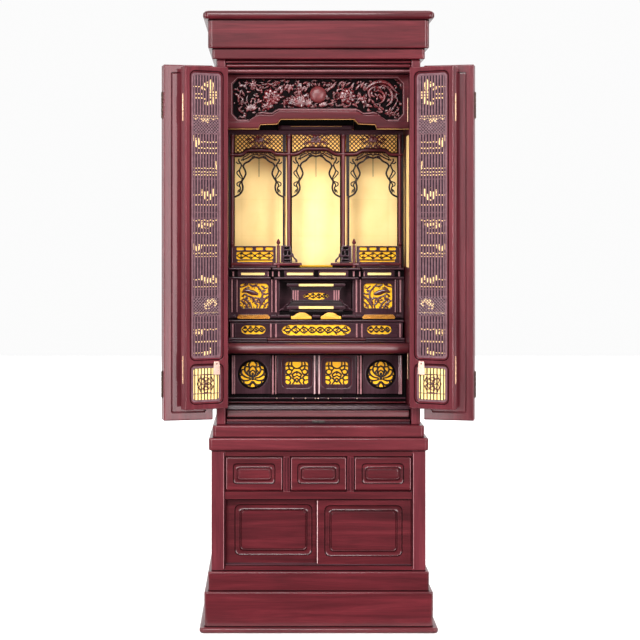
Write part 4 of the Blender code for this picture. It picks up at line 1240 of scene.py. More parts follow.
# ------------------------------------------------------------- shrine arcade
AF = -203.0
CENTRES = [PX(259.0, AF), 0.0, -PX(259.0, AF)]
COLUMNS = (-74.6, 74.6)
arcade = Shape()
slab(arcade, -241, 241, -210, -200.5, 1308.4, 1321.3, 1.4, "inner_x", 3)
slab(arcade, -241, 241, -203, -199.0, 1311.6, 1314.0, 0.8, "inner_x", 2)
for s in (-1, 1):
    # dark slabs painted as the shade in the gaps beside the columns
    for x0, x1, mat in ((83.3, 91.8, "stroke"), (66.0, 69.4, "ground"),
                        (232.2, 241.0, "stroke"), (223.6, 226.2, "ground")):
        a, b = sorted((s * x0, s * x1))
        slab(arcade, a, b, -210, -203.6, 943.6, 1321.0, 0.6, mat, 2)
    x = s * PX(285.2, AF) * -1
    rod(arcade, [(x, -203.2, 1006), (x, -203.2, 1140)], 1.3, "gold_edge", 8)
    # slender columns on small bases
    for x, r in ((s * 74.6, 5.4), (s * 230.0, 4.6)):
        turned(arcade, x, -201.6, [
            (r + 1.4, 943.8), (r + 2.0, 945), (r + 2.0, 949), (r + 0.8, 951),
            (r + 1.2, 953), (r, 956), (r, 1296), (r + 1.0, 1299),
            (r + 0.4, 1301), (r + 1.8, 1305), (r + 1.8, 1308.6)],
            "lacquer_z", 22)
RAIL = [(229.8, 154.7), (240, 154.7), (243.5, 153.5), (246.5, 151.1),
        (249.5, 150.5), (268, 150.5), (271.4, 151.1), (275.2, 153.4),
        (278.5, 154.1), (288, 154.1), (295, 154.1), (299, 152.8),
        (303.4, 150.0), (307, 149.1), (312, 149.1)]
half = [tuple(p) for p in smooth_path(mm(RAIL, AF), 4)]
rail = half + flip(half)[::-1]
stem(arcade, rail, 8.6, -199.6, "lacquer_x", 9.0, 14)
# painted shade: dark strips along the rail's upper and lower edges
stem(arcade, [(x, z + 5.0) for x, z in rail], 3.8, -203.8, "ground", 5.0, 8)
stem(arcade, [(x, z - 5.2) for x, z in rail], 3.2, -204.2, "ground", 5.0, 8)
arcade.build("shrine_arcade", "cabinet", ["arcade"], slot="dark_lacquer")


def lattice_lines(shape, x0, x1, z0, z1, pitch, width, f, mat, depth=1.6):
    """Two families of crossing diagonal bars, cut to a rectangle."""
    span = (x1 - x0) + (z1 - z0)
    for way in (1, -1):
        k = 0
        while k * pitch < span:
            c = k * pitch
            points = []
            for t in (0.0, z1 - z0):
                x = x0 + c - t if way == 1 else x1 - c + t
                points.append([x, z0 + t])
            (ax, az), (bx, bz) = points
            lo, hi = 0.0, 1.0
            dx = bx - ax
            for edge, sign in ((x0, 1), (x1, -1)):
                da, db = sign * (ax - edge), sign * (bx - edge)
                if da < 0 and db < 0:
                    lo, hi = 1.0, 0.0
                elif da < 0:
                    lo = max(lo, da / (da - db))
                elif db < 0:
                    hi = min(hi, da / (da - db))
            k += 1
            if hi - lo < 0.03:
                continue
            p = (ax + dx * lo, az + (bz - az) * lo)
            q = (ax + dx * hi, az + (bz - az) * hi)
            stem(shape, [p, q], width, f + (0.5 if way == 1 else -0.5), mat,
                 depth, 6)


trellis = Shape()
for c in CENTRES:
    lattice_lines(trellis, c - 64.5, c + 64.5, 1256, 1308.6, 11.6, 2.7, -206.2,
                  "umber")
sheet = Shape()
for c in CENTRES:
    slab(sheet, c - 65, c + 65, -209.8, -208.9, 1257, 1308.4, 0.2,
         "gold_ochre", 1)
sheet.build("arcade_trellis_gilding", "cabinet", slot="gold_leaf")
trellis.build("arcade_trellis", "cabinet", slot="carved_wood", weighted=False)

blooms = Shape()
for n, c in enumerate(CENTRES):
    size = 1.42 if n == 1 else 1.2
    g = Relief(c - 40, c + 40, 1262, 1309, 0.85)
    cz = PZ(139.4, AF)
    g.flower(c, cz, 10.5 * size, 7, 2.4, 3.4, 0.2, 0.8, 2)
    for s in (-1, 1):
        for u, v, length, a in ((7, -3, 17, -24), (9, 3, 16, 18),
                                (4, -9, 15, -62), (15, -9, 12, -8),
                                (18, 2, 13, -30), (10, -16, 12, -48),
                                (2, -13, 9, -84), (6, 8, 11, 50)):
            g.leaf(c + s * u * size, cz + v * size, length * size, 4.2,
                   math.radians(a if s > 0 else 180 - a), 1.2, 2.6,
                   0.3 * s, 0.7)
        g.stroke(smooth_path([(c + s * 6, cz - 4), (c + s * 16, cz - 10),
                              (c + s * 25, cz - 6)], 5), [1.8, 1.8, 1.0],
                 0.8, 1.8)
    g.add_to(blooms, -205.4, "carving")
blooms.build("arcade_blooms", "cabinet", slot="carved_wood", angle=60,
             weighted=False)

INNER = [(234.7, 197.0), (239.1, 194.7), (241.9, 191.3), (242.8, 186.9),
         (241.9, 181.6), (244.4, 177.2), (245.8, 173.6), (244.8, 169.7),
         (243.3, 166.2), (244.9, 163.4), (249.0, 161.3), (251.9, 158.7),
         (255.6, 157.3), (259.0, 158.2)]
OUTER = [(239.0, 158.6), (238.8, 161.0), (241.2, 164.4), (240.8, 167.2),
         (239.4, 170.4), (240.4, 173.8), (242.2, 177.6), (241.4, 181.4),
         (239.4, 185.0), (240.6, 188.6), (239.4, 192.4)]
UPPER = [(240.8, 160.2), (245.2, 159.0), (249.2, 157.0), (253.0, 154.8),
         (256.4, 154.4), (259.0, 155.2)]
TWIGS = [[(241.0, 165.0), (242.4, 166.0), (243.6, 166.4)],
         [(239.6, 169.8), (236.8, 172.6), (238.8, 175.8), (241.2, 178.6)],
         [(241.4, 181.2), (237.4, 182.8), (237.2, 185.2), (239.2, 186.6)],
         [(236.0, 161.8), (238.0, 163.6), (239.8, 163.4)],
         [(240.6, 189.0), (238.4, 190.6), (237.8, 193.2)],
         [(243.4, 160.8), (243.2, 157.8), (246.4, 155.8), (249.0, 154.2)],
         [(251.6, 157.6), (253.2, 156.4), (255.4, 156.0)]]
lace = Shape()
for n, c in enumerate(CENTRES):
    lift = 4.4 if n == 1 else 0.0

    def place_half(points):
        out = []
        for x, z in mm(points, AF):
            share = min(max((z - 1222) / 22, 0), 1)
            out.append((x - CENTRES[0], z + lift * share))
        return out

    for s in (1, -1):
        for points, width, f, depth in (
                (INNER, 5.0, -204.2, 4.4), (OUTER, 4.0, -205.0, 3.8),
                (UPPER, 3.8, -205.0, 3.6)):
            path = [(c + s * p[0], p[1])
                    for p in smooth_path(place_half(points), 4)]
            stem(lace, path, width, f, "stroke", depth, 8)
        for points in TWIGS:
            path = [(c + s * p[0], p[1])
                    for p in smooth_path(place_half(points), 4)]
            stem(lace, path, 3.3, -205.2, "stroke", 3.0, 6, ends=(1, 0.6))
        # small scrolls tucked under the rail
        for u, z in ((44, 1257.5), (33, 1262.0), (21, 1265.6), (8, 1266.4)):
            path = []
            for k in range(15):
                t = k / 14
                a = 0.6 + t * 5.2
                r = 4.6 * (1 - 0.72 * t)
                path.append((c + s * (u + r * math.cos(a)),
                             z + lift * 0.6 - 6 + r * math.sin(a) * 0.8))
            stem(lace, path, 1.5, -205.6, "umber", 2.4, 6, ends=(0.5, 1))
    # a thin hook hanging in the bay
    z0, z1 = PZ(174.2, AF), PZ(157.4, AF) + lift
    hook = [(c, -208.5, z1 + 3), (c, -208.5, z0)]
    hook += [(c, -208.5 + 3.2 * math.sin(t), z0 - 3.2 + 3.2 * math.cos(t))
             for t in (0.6, 1.2, 1.8, 2.4, 3.0, 3.6, 4.2)]
    rod(lace, hook, 0.8, "iron", 8)
    dome(lace, c, -207.5, PZ(155.6, AF) + lift, 3.4, 2.0, 3.4, "gold_edge", 14,
         8)
lace.build("arcade_lace", "cabinet", slot="carved_wood", weighted=False)

# a low cloud-edged canopy in front of the middle bay
canopy = Shape()
board(canopy, [[(-103.5, -292), (103.5, -292), (103.5, -186), (96, -179),
                (-96, -179), (-103.5, -186)]], 0, 10.6, "inner_x", 2.4, 4)
flat = Shape()
turn_up = Matrix(((1, 0, 0, 0), (0, 0, -1, 0), (0, -1, 0, 1322.6),
                  (0, 0, 0, 1)))
flat.merge(canopy, turn_up)
slab(flat, -97, 97, -286, -184, 1321.5, 1323.4, 0.6, "inner_x", 1)
slab(flat, -70, 70, -181.6, -178.4, 1329.6, 1331.0, 0.4, "gold_edge", 1)
flat.build("shrine_canopy_board", "cabinet", ["shrine_canopy"],
           slot="dark_lacquer")
upper_board_and_shade = Shape()
# dark sheets painted as the shade above the arcade and beside the canopy; the
# slab at depth -82 to -76 is a real board
slab(upper_board_and_shade, -103, 103, -209, -205, 1334.4, 1366, 0.8, "ground", 2)
slab(upper_board_and_shade, -242, 242, -82, -76, 1459.8, 1475.8, 0.6, "inner_x", 2)
for s in (-1, 1):
    a, b = sorted((s * 104, s * 241))
    slab(upper_board_and_shade, a, b, -209, -205, 1321.6, 1345, 0.8, "ground", 2)
upper_board_and_shade.build("shrine_upper_board_and_shade_sheets", "cabinet", slot="dark_lacquer")

golden = Shape()
slab(golden, -241, 241, -308, -301, 943.6, 1459, 0.8, "gold_pale", 2)
for s in (-1, 1):
    a, b = sorted((s * 236.5, s * 241))
    slab(golden, a, b, -302, -300, 943.6, 1459, 0.5, "gold_deep", 2)
slab(golden, -236, 236, -302, -300, 1454, 1459, 0.5, "gold_deep", 2)
slab(golden, -236, 236, -302, -300, 943.6, 948, 0.5, "gold_deep", 2)
golden.build("gilt_back_board", "cabinet", ["gold_back_panel"],
             slot="gold_leaf")

# --------------------------------------------------------------- balustrades
BF = -189.0


def pill(x0, x1, y0, y1, r, f=BF, seg=5):
    """A round-cornered opening given in photograph pixels."""
    a, b = mm([(x0, y1), (x1, y0)], f)
    return rrect(a[0], b[0], a[1], b[1], r, seg)


for side, s in (("left", 1), ("right", -1)):
    shape, gilt = Shape(), Shape()

    def sx(points):
        return [(s * x, z) for x, z in points]

    outline_ = sx(rrect(PX(233.4, BF), PX(275.8, BF), 943.9,
                        PZ(246.0, BF), 1.2, 3))
    holes = [sx(pill(*q, 3.4)) for q in (
        (236.5, 244.0, 247.4, 250.3), (245.7, 252.7, 247.4, 250.3),
        (256.0, 263.0, 247.4, 250.3), (265.4, 272.9, 247.4, 250.3))]
    holes.append(sx(pill(236.5, 273.2, 251.8, 259.3, 4.0)))
    holes.append(sx(pill(237.4, 272.6, 260.4, 261.9, 1.6)))
    board(shape, [outline_] + holes, -193.0, -187.8, "inner_x", 0.9, 3)
    a, b = sorted((s * PX(235.0, BF), s * PX(274.8, BF)))
    slab(gilt, a, b, -194.6, -193.3, 946.5, PZ(246.8, BF), 0.3,
         "gold_deep", 1)
    # entwined scrolls in the band
    g = Relief(*sorted((s * PX(236.4, BF), s * PX(273.3, BF))),
               PZ(259.4, BF), PZ(251.7, BF), 0.5)
    mid = PZ(255.6, BF)
    for k in range(2):
        for sign in (1, -1):
            path = []
            for j in range(49):
                t = j / 48
                x = PX(236.9 + 36.0 * t, BF)
                wave = math.sin(2 * math.pi * (2.0 * t) + k * math.pi)
                path.append((s * x, mid + sign * 7.2 * wave * (
                    0.82 + 0.18 * math.cos(4 * math.pi * t))))
            g.stroke(path, [2.4] * 5, 1.0 + k, 2.0)
    for u in (241.4, 250.8, 259.6, 268.8):
        for sign in (1, -1):
            g.scroll(s * PX(u, BF), mid + sign * 4.2, 4.6, 1.1,
                     0.8 * sign, 2.2, 1.4, 2.0, sign)
    for u in (245.9, 255.0, 264.0):
        g.blob(s * PX(u, BF), mid, 3.2, 3.2, 0, 2, 2.4)
    g.add_to(shape, -193.4, "stroke")
    # posts and their buds
    for px, base, top, tip, r in ((278.4, 943.8, 245.6, 238.6, 4.2),
                                  (232.2, 943.8, 246.8, 240.6, 3.4)):
        x, zt, zb = s * PX(px, -187.0), PZ(tip, BF), PZ(top, BF)
        turned(shape, x, -189.4, [
            (r, base), (r, zb - 3), (r + 0.7, zb - 2.2), (r + 0.7, zb - 0.6),
            (r * 0.45, zb + 1.2), (r * 0.45, zb + 2.4), (r * 1.05, zb + 5.0),
            (r * 1.35, zb + 8.0), (r * 1.15, zb + 10.6),
            (r * 0.55, zt - 2.6), (0.3, zt)], "lacquer_z", 16)
    for px0, px1 in ((230.9, 272.6), (273.2, 301.9)):
        a, b = sorted((s * PX(px0, -183.6), s * PX(px1, -183.6)))
        slab(shape, a, b, -194, -183.6, 949.2, 956.8, 2.0, "lacquer_x", 3)
    # painted shade: a dark strip under the rails
    a, b = sorted((s * PX(231.4, -190), s * PX(300.0, -190)))
    slab(shape, a, b, -194, -189, 943.6, 950, 0.4, "ground", 1)
    # the stepped bracket at the foot of the column
    edge = [(280.8, 262.4), (280.8, 245.6), (289.6, 245.6), (291.0, 247.6),
            (291.4, 252.4), (293.6, 254.0), (294.0, 256.6), (297.2, 259.6),
            (297.6, 262.4)]
    cuts = [[(284.4, 247.2), (288.6, 247.0), (289.4, 249.0), (284.4, 249.4)],
            [(284.2, 251.0), (287.2, 250.6), (286.6, 255.0), (284.2, 255.2)],
            [(288.4, 250.8), (290.2, 251.2), (290.8, 254.6), (288.0, 255.0)],
            [(284.2, 256.8), (288.6, 256.6), (289.6, 258.6), (284.2, 258.8)],
            [(284.2, 260.0), (289.8, 260.0), (290.4, 261.6), (284.2, 261.6)],
            [(291.2, 256.8), (293.0, 257.6), (295.6, 261.4), (291.6, 261.4)]]
    board(shape, [sx(mm(edge, BF))] + [
        sx([tuple(p) for p in smooth_path(mm(cut, BF), 3, True)])
        for cut in cuts], -193, -188.4, "inner_x", 0.7, 2)
    # a dark sheet behind the bracket's cut-outs, painted as the shade seen
    # through them
    a, b = sorted((s * PX(283.6, BF), s * PX(291.2, BF)))
    slab(gilt, a, b, -194.4, -193.3, 946.5, PZ(247.0, BF), 0.3, "ground", 1)
    shape.build("balustrade_plate_" + side, "cabinet",
                ["balustrade_" + side], slot="dark_lacquer", weighted=False)
    gilt.build("balustrade_gilding_" + side, "cabinet", slot="gold_leaf")

# ---------------------------------------------------------------- altar dais
def level(shape, x0, x1, f0, f1, y0, y1, r, mat, seg=3):
    """A bar between two photograph rows at its front depth."""
    slab(shape, x0, x1, f0, f1, PZ(y1, f1), PZ(y0, f1), r, mat, seg)


def upright(shape, px, f, y0, y1, r, mat="rose"):
    """A half-sunk bead standing in front of the dais, on both sides."""
    x = PX(px, f)
    z0, z1 = PZ(y1, f), PZ(y0, f)
    for s in (1, -1):
        rod(shape, [(s * x, f - r, z0), (s * x, f - r, z1)], r, mat, 10)


def cloud_outline(cx, cz, hw, hh, lobes=5, sharp=2.2, n=40):
    """A long cartouche with pointed ends and a scalloped edge."""
    top = []
    for k in range(n + 1):
        u = -1 + 2 * k / n
        env = (1 - abs(u) ** sharp) ** 0.75
        wave = 0.94 + 0.06 * abs(math.cos(math.pi * lobes * (u + 1) / 2))
        top.append((cx + hw * u, hh * env * wave))
    upper = [(x, cz + h) for x, h in top]
    lower = [(x, cz - h) for x, h in reversed(top[1:-1])]
    return upper + lower


def braid(g, cx, cz, hw, hh, loops, width, level_=0.8, rise=2.0):
    """Entwined cloud lines filling a long opening."""
    for k in range(2):
        path = []
        for j in range(61):
            t = -1 + 2 * j / 60
            env = (1 - abs(t) ** 4) ** 0.5
            path.append((cx + hw * t, cz + (1 if k else -1) * hh * 0.62 * env
                         * math.sin(math.pi * loops * (t + 1) / 1)))
        g.stroke(path, [width] * 4, level_ + 0.6 * k, rise)
    for k in range(loops * 2):
        u = cx + hw * (-1 + (k + 0.5) / loops)
        for way in (1, -1):
            g.scroll(u, cz + way * hh * 0.42, hh * 0.44, 1.15,
                     0.5 + 0.7 * k, width * 0.9, level_, rise, way)


dais = Shape()
# dark slabs painted as the shade inside the shelf
slab(dais, -241, 241, -298, -197, 911.6, 943.0, 0.6, "ground", 2)
slab(dais, -120, 120, -200, -184, 911.6, 943.0, 0.6, "ground", 2)
for s in (1, -1):
    a, b = sorted((s * 124.6, s * 241.0))
    slab(dais, a, b, -200, -184, 936.9, 943.2, 2.9, "inner_x", 4)
    slab(dais, a, b, -200, -186, 911.6, 917.8, 2.4, "inner_x", 4)
slab(dais, -120.6, 120.6, -200, -170, 936.9, 943.2, 2.9, "inner_x", 4)
slab(dais, -116.0, 116.0, -200, -173, 911.6, 917.8, 2.4, "inner_x", 4)
for half_, f in ((((241.1, 264.7),), -194.0), (((286.9, 313.2),), -180.0)):
    for x0, x1 in half_:
        for s in (1, -1):
            a, b = sorted((s * PX(x0, f), s * PX(x1, f)))
            edge0, edge1 = (a - 9, b + 9) if f < -190 else (a - 7, b + 2.2)
            if s < 0 and f > -190:
                edge0, edge1 = a - 2.2, b + 7
            slot_hole = rrect(a, b, PZ(275.1, f), PZ(272.6, f), 2.2, 4)
            board(dais, [[(edge0, 918.4), (edge1, 918.4), (edge1, 936.3),
                          (edge0, 936.3)], slot_hole], f - 3.4, f, "inner_x",
                  0.8, 2)
# pale pink beads, their colour a painted highlight
for px, f, r in ((233.2, -192, 2.4), (272.8, -180, 1.9), (278.9, -177, 2.4),
                 (268.2, -191, 1.4)):
    upright(dais, px, f, 271.6, 276.4, r, "rose")
dais.build("dais_shelf", "cabinet", ["dais_top"], slot="dark_lacquer")
leafing = Shape()
for s in (1, -1):
    a, b = sorted((s * PX(239.6, -196), s * PX(266.4, -196)))
    slab(leafing, a, b, -197.2, -196.6, 919, 935.6, 0.2, "gold_cream", 1)
    a, b = sorted((s * PX(285.6, -183), s * PX(313.7, -183)))
    slab(leafing, a, b, -184.4, -183.7, 919, 935.6, 0.2, "gold_cream", 1)
leafing.build("dais_slit_gilding", "cabinet", slot="gold_leaf")

front = Shape()
DF = -202.0
for s in (1, -1):
    # side blocks with a carved square
    x0, x1 = PX(237.0, DF), PX(271.4, DF)
    square = mm([(240.1, 283.6), (268.2, 283.6), (268.2, 308.3),
                 (240.1, 308.3)], DF)
    qx0, qx1, qz0, qz1 = square[0][0], square[1][0], square[2][1], square[0][1]
    window = rrect(*sorted((s * qx0, s * qx1)), qz0, qz1, 8.5, 6)
    a, b = sorted((s * -241.0, s * -100.5))
    # a dark slab painted as the shade behind the side block
    slab(front, a, b, -298, -210.5, 804, 910.9, 0.5, "ground", 1)
    board(front, [[(a, 804), (b, 804), (b, 910.9), (a, 910.9)], window],
          -213, DF, "inner_z", 1.2, 3)
    rim = rrect(*sorted((s * (qx0 - 5), s * (qx1 + 5))), qz0 - 5, qz1 + 5,
                11, 6)
    stem(front, rim, 1.5, DF, "inner_z", 1.2, 6, closed=True)
slab(front, -100.6, 100.6, -298, -262, 804, 910.9, 0.6, "inner_x", 1)
# dark slabs painted as the shade at the foot and head of the niche
slab(front, -100.6, 100.6, -264, -203, 800, 821.2, 0.8, "ground", 2)
slab(front, -100.6, 100.6, -264, -190, 906.4, 910.9, 0.8, "ground", 2)
slab(front, -98.4, 98.4, -212, -191, 906, 909.4, 1.2, "inner_x", 2)
slab(front, -241, 241, -298, -190, 793.3, 799.8, 2.6, "inner_x", 4)
# a dark strip painted as the shadow under the moulding
slab(front, -241, 241, -298, -200, 799, 804.4, 0.8, "ground", 1)
# the pink uprights' colour is a painted highlight
for px, r, mat in ((231.9, 2.3, "rose"), (234.5, 2.6, "inner_z"),
                   (237.0, 1.5, "rose"), (271.9, 1.6, "rose"),
                   (273.9, 1.5, "inner_z"), (275.9, 2.5, "rose")):
    upright(front, px, -190.5, 279.6, 312.2, r, mat)
# plain bars between the fringes
for s in (1, -1):
    for u0, u1 in ((277.4, 290.2), (231.0, 236.0), (271.0, 276.6)):
        a, b = sorted((s * PX(u0, -196), s * PX(u1, -196)))
        slab(front, a, b, -203, -195, PZ(317.6, -196), PZ(314.8, -196), 2.0,
             "inner_x", 3)
slab(front, PX(312.4, -196), -PX(312.4, -196), -203, -195,
     PZ(317.6, -196), PZ(314.8, -196), 2.0, "inner_x", 3)
# slanting carved stays beside the table
for s in (1, -1):
    path = []
    for k in range(25):
        t = k / 24
        path.append((s * (-103 + 40 * t) , 822 + 34 * t
                     + 1.6 * math.sin(t * 16)))
    stem(front, path, 3.0, -200, "inner_x", 3.0, 8)
    for k in range(1, 24, 2):
        x, z = path[k]
        dome(front, x, -198.6, z, 2.3, 1.6, 2.3, "inner_x", 10, 6)
front.build("dais_front", "cabinet", ["dais_body"], slot="dark_lacquer")

# gilding and line work of the two squares: a bird among blossoms
gilt, work = Shape(), Shape()
for s in (1, -1):
    x0, x1 = sorted((s * PX(239.4, DF), s * PX(268.9, DF)))
    z0, z1 = PZ(309.0, DF), PZ(282.9, DF)
    slab(gilt, x0, x1, -211.4, -210.0, z0, z1, 0.3, "gold_deep", 1)
    g = Relief(x0 + 1, x1 - 1, z0 + 1, z1 - 1, 0.6)
    cx, cz = (x0 + x1) / 2, (z0 + z1) / 2

    def q(u, v):
        """A place in the square, -1 to 1 each way, mirrored on one side."""
        return cx + s * u * 38, cz + v * 33.5

    def limb(points, widths, lift=1.0, rise=2.4):
        g.stroke(smooth_path([q(*p) for p in points], 5),
                 [w * 1.9 for w in widths], lift, rise)

    # body, wing and tail of the bird
    limb([(-0.86, 0.30), (-0.5, 0.40), (-0.1, 0.26), (0.22, 0.16)],
         [2.0, 5.6, 7.4, 4.0], 1.6, 3.0)
    limb([(-0.78, 0.42), (-0.6, 0.62), (-0.36, 0.66)], [2.2, 2.6, 2.2])
    limb([(0.10, 0.92), (0.36, 0.62), (0.56, 0.34), (0.60, 0.0),
          (0.42, -0.28)], [2.0, 2.8, 3.2, 3.2, 2.0])
    limb([(-0.30, 0.92), (-0.10, 0.80), (0.20, 0.78)], [2.6, 3.0, 1.6])
    limb([(0.55, 0.80), (0.76, 0.62), (0.94, 0.66)], [2.2, 2.6, 2.0])
    limb([(-0.98, 0.72), (-0.70, 0.82), (-0.48, 0.96)], [2.0, 2.6, 2.0])
    limb([(-0.86, -0.02), (-0.66, 0.12), (-0.50, 0.02), (-0.56, -0.22),
          (-0.80, -0.30)], [2.4, 3.0, 3.0, 2.6, 2.0])
    limb([(-0.40, -0.02), (-0.16, -0.12), (0.02, -0.34), (-0.10, -0.52)],
         [2.6, 3.2, 3.2, 2.2])
    limb([(0.02, -0.20), (0.28, -0.20), (0.46, -0.36), (0.36, -0.56)],
         [2.2, 3.0, 3.0, 2.2])
    limb([(-0.96, -0.40), (-0.66, -0.62), (-0.44, -0.96)], [2.2, 3.6, 2.4])
    limb([(-0.58, -0.38), (-0.30, -0.66), (-0.18, -0.96)], [2.2, 3.4, 2.2])
    limb([(0.08, -0.62), (0.24, -0.76), (0.20, -0.98)], [2.6, 3.0, 2.2])
    limb([(0.98, -0.06), (0.74, -0.30), (0.52, -0.62), (0.40, -0.96)],
         [2.4, 4.0, 4.4, 2.4], 1.4, 2.8)
    limb([(0.98, -0.52), (0.82, -0.70), (0.70, -0.98)], [2.2, 3.2, 2.2])
    limb([(0.62, 0.22), (0.80, 0.12), (0.98, 0.20)], [2.4, 2.8, 2.2])
    x, z = q(-0.34, -0.36)
    for u, v, r_, petals in ((-0.62, -0.30, 7.0, 5), (0.58, -0.34, 7.6, 5),
                             (0.72, 0.42, 5.2, 5), (-0.62, 0.92, 4.6, 5)):
        x, z = q(u, v)
        g.flower(x, z, r_, petals, 1.0, 2.4, 0.4, 0.9, 1)
    rr = random.Random(31)
    for _ in range(48):
        u, v = rr.uniform(-0.95, 0.95), rr.uniform(-0.98, -0.1)
        x, z = q(u, v)
        g.leaf(x, z, rr.uniform(6, 11), 3.3, rr.uniform(0, 6.28), 0.7, 2.2,
               0.5, 0.5)
    for _ in range(22):
        u, v = rr.uniform(-0.95, 0.95), rr.uniform(0.2, 0.95)
        x, z = q(u, v)
        g.leaf(x, z, rr.uniform(5, 8), 2.2, rr.uniform(0, 6.28), 0.7, 1.8,
               0.3, 0.4)
    g.add_to(work, -210.2, "plum")
gilt.build("dais_square_gilding", "cabinet", slot="gold_leaf")
work.build("dais_square_carving", "cabinet", slot="carved_wood", angle=60,
           weighted=False)

# beaded fringes and fans under the niche
fringe = Shape()
FF = -196.0


def beaded(outline_px, pitch, f, mat, ground_mat="umber"):
    """Rows of small beads over a shaped backing."""
    pts = mm(outline_px, f)
    for s in (1, -1):
        loop = [(s * x, z) for x, z in pts]
        board(fringe, [loop], f - 5, f, ground_mat, 0.6, 2)
        xs, zs = [p[0] for p in loop], [p[1] for p in loop]
        z, row = min(zs) + pitch * 0.6, 0
        while z < max(zs) - pitch * 0.3:
            # the stretch of this row inside the outline
            cuts = []
            for (ax, az), (bx, bz) in zip(loop, loop[1:] + loop[:1]):
                if (az > z) != (bz > z):
                    cuts.append(ax + (bx - ax) * (z - az) / (bz - az))
            cuts.sort()
            for lo, hi in zip(cuts[::2], cuts[1::2]):
                n = max(int((hi - lo) / pitch), 1)
                for k in range(n):
                    x = lo + (k + 0.5) * (hi - lo) / n
                    dome(fringe, x, f + 0.2, z, pitch * 0.47, 1.3,
                         pitch * 0.47, mat, 8, 5)
            z += pitch
            row += 1


beaded([(236.8, 317.8), (238.2, 315.4), (241, 314.2), (266, 314.2),
        (268.8, 315.4), (270.3, 317.8), (268.6, 319.0), (238.6, 319.0)], 2.9,
       FF, "amber")
beaded([(291.2, 316.4), (294.4, 315.6), (296.6, 313.9), (299.6, 312.6),
        (304.4, 312.6), (307.2, 313.9), (309.4, 315.6), (311.4, 316.4),
        (311.4, 319.2), (291.2, 319.2)], 2.9, FF, "gold_deep", "gold_edge")
fringe.build("dais_fringes", "cabinet", slot="gold_leaf", weighted=False)

# table in the niche
TF = -194.0
table = Shape()
for y0, y1 in ((283.3, 286.6), (305.6, 309.3)):
    z0, z1 = PZ(y1, TF), PZ(y0, TF)
    slab(table, -80.4, 80.4, -250, TF, z0, z1, 2.4, "inner_x", 4)
# dark bands painted as the shade under the top and above the foot slab
for y0, y1, reach, back in ((286.6, 288.4, 72, -244), (288.4, 290.4, 68, -242),
                            (300.3, 302.4, 68, -242),
                            (302.4, 305.6, 72, -244)):
    slab(table, -reach, reach, back, TF - (8 if reach > 70 else 11),
         PZ(y1, TF) - 0.3, PZ(y0, TF) + 0.3, 1.0, "stroke", 2)
NF = -206.0
z0, z1 = PZ(300.4, NF), PZ(290.2, NF)
opening = cloud_outline(0, PZ(296.2, NF), 36, 10.4, 5)
board(table, [[(-66, z0), (66, z0), (66, z1), (-66, z1)], opening], -211, NF,
      "inner_x", 0.8, 2)
slab(table, -66, 66, -240, -212.4, z0, z1, 0.8, "inner_x", 1)
for s in (1, -1):
    # pale pink rods, their colour a painted highlight
    for x in (62.6, 56.4, 50.2):
        rod(table, [(s * x, NF - 1.4, z0), (s * x, NF - 1.4, z1)], 2.5,
            "rose", 10)
    for y, x in ((-238, 66), (-204, 74)):
        a, b = sorted((s * (x - 9), s * x))
        slab(table, a, b, y - 8, y, 821.5, PZ(309.0, TF), 1.2, "inner_x", 2)
slab(table, -74, 74, -246, -202, 821.4, 825.2, 0.8, "stroke", 2)
table.build("niche_table", "cabinet", ["pedestal_table"], slot="dark_lacquer")
gilt, work = Shape(), Shape()
for y0, y1 in ((283.9, 286.2), (306.2, 308.8)):
    z0, z1 = PZ(y1, TF), PZ(y0, TF)
    slab(gilt, -47.5, 47.5, TF - 2, TF + 0.5, z0, z1, 0.4, "gold_cream", 2)
    for k in range(27):
        x = -45.5 + k * 3.5
        slab(gilt, x - 0.35, x + 0.35, TF - 1, TF + 0.9, z0 + 0.8, z1 - 0.8,
             0.2, "gold_edge", 1)
slab(gilt, -38, 38, -212.2, -211.3, PZ(300.3, NF), PZ(291.6, NF), 0.3,
     "gold_deep", 1)
g = Relief(-36, 36, PZ(300.2, NF), PZ(292.0, NF), 0.5)
braid(g, 0, PZ(296.2, NF), 33, 9, 2, 2.6)
g.add_to(work, -211.4, "stroke")
gilt.build("niche_table_gilding", "cabinet", slot="gold_leaf")
work.build("niche_table_carving", "cabinet", slot="carved_wood", angle=60,
           weighted=False)

# the row of cloud openings, and the stepped base under it
base = Shape()
RF = -176.0
z0, z1 = 752.0, 792.9
windows = []
for s in (1, -1):
    windows.append(cloud_outline(s * PX(253.4, RF), PZ(329.8, RF), 33.6, 12.2,
                                 4, 7.0))
windows.append(cloud_outline(0, PZ(330.1, RF), 94.5, 14.6, 9, 12.0, 90))
board(base, [[(-236, z0), (236, z0), (236, z1), (-236, z1)]] + windows,
      -181, RF, "inner_x", 1.0, 3)
# a dark slab painted as the shade behind the windows
slab(base, -236, 236, -298, -183, z0, z1, 0.6, "ground", 1)
# pale pink beads, their colour a painted highlight
for px, r, mat in ((232.6, 2.4, "rose"), (235.0, 2.0, "inner_z"),
                   (270.8, 2.3, "rose"), (273.4, 2.4, "inner_z"),
                   (276.0, 2.3, "rose")):
    upright(base, px, -173.5, 323.8, 337.4, r, mat)
for s in (1, -1):
    a, b = sorted((s * 134.4, s * 241.0))
    slab(base, a, b, -298, -168, 745.6, 751.7, 2.2, "inner_x", 3)
    slab(base, a, b, -298, -170, 739.5, 744.6, 1.8, "inner_x", 3)
    # a dark strip painted as the shadow under the moulding
    slab(base, a, b, -298, -172, 744, 746.2, 0.4, "ground", 1)
slab(base, -134.0, 134.0, -298, -152, 745.6, 751.7, 2.2, "lacquer_x", 3)
slab(base, -134.0, 134.0, -298, -154, 739.5, 744.6, 1.8, "inner_x", 3)
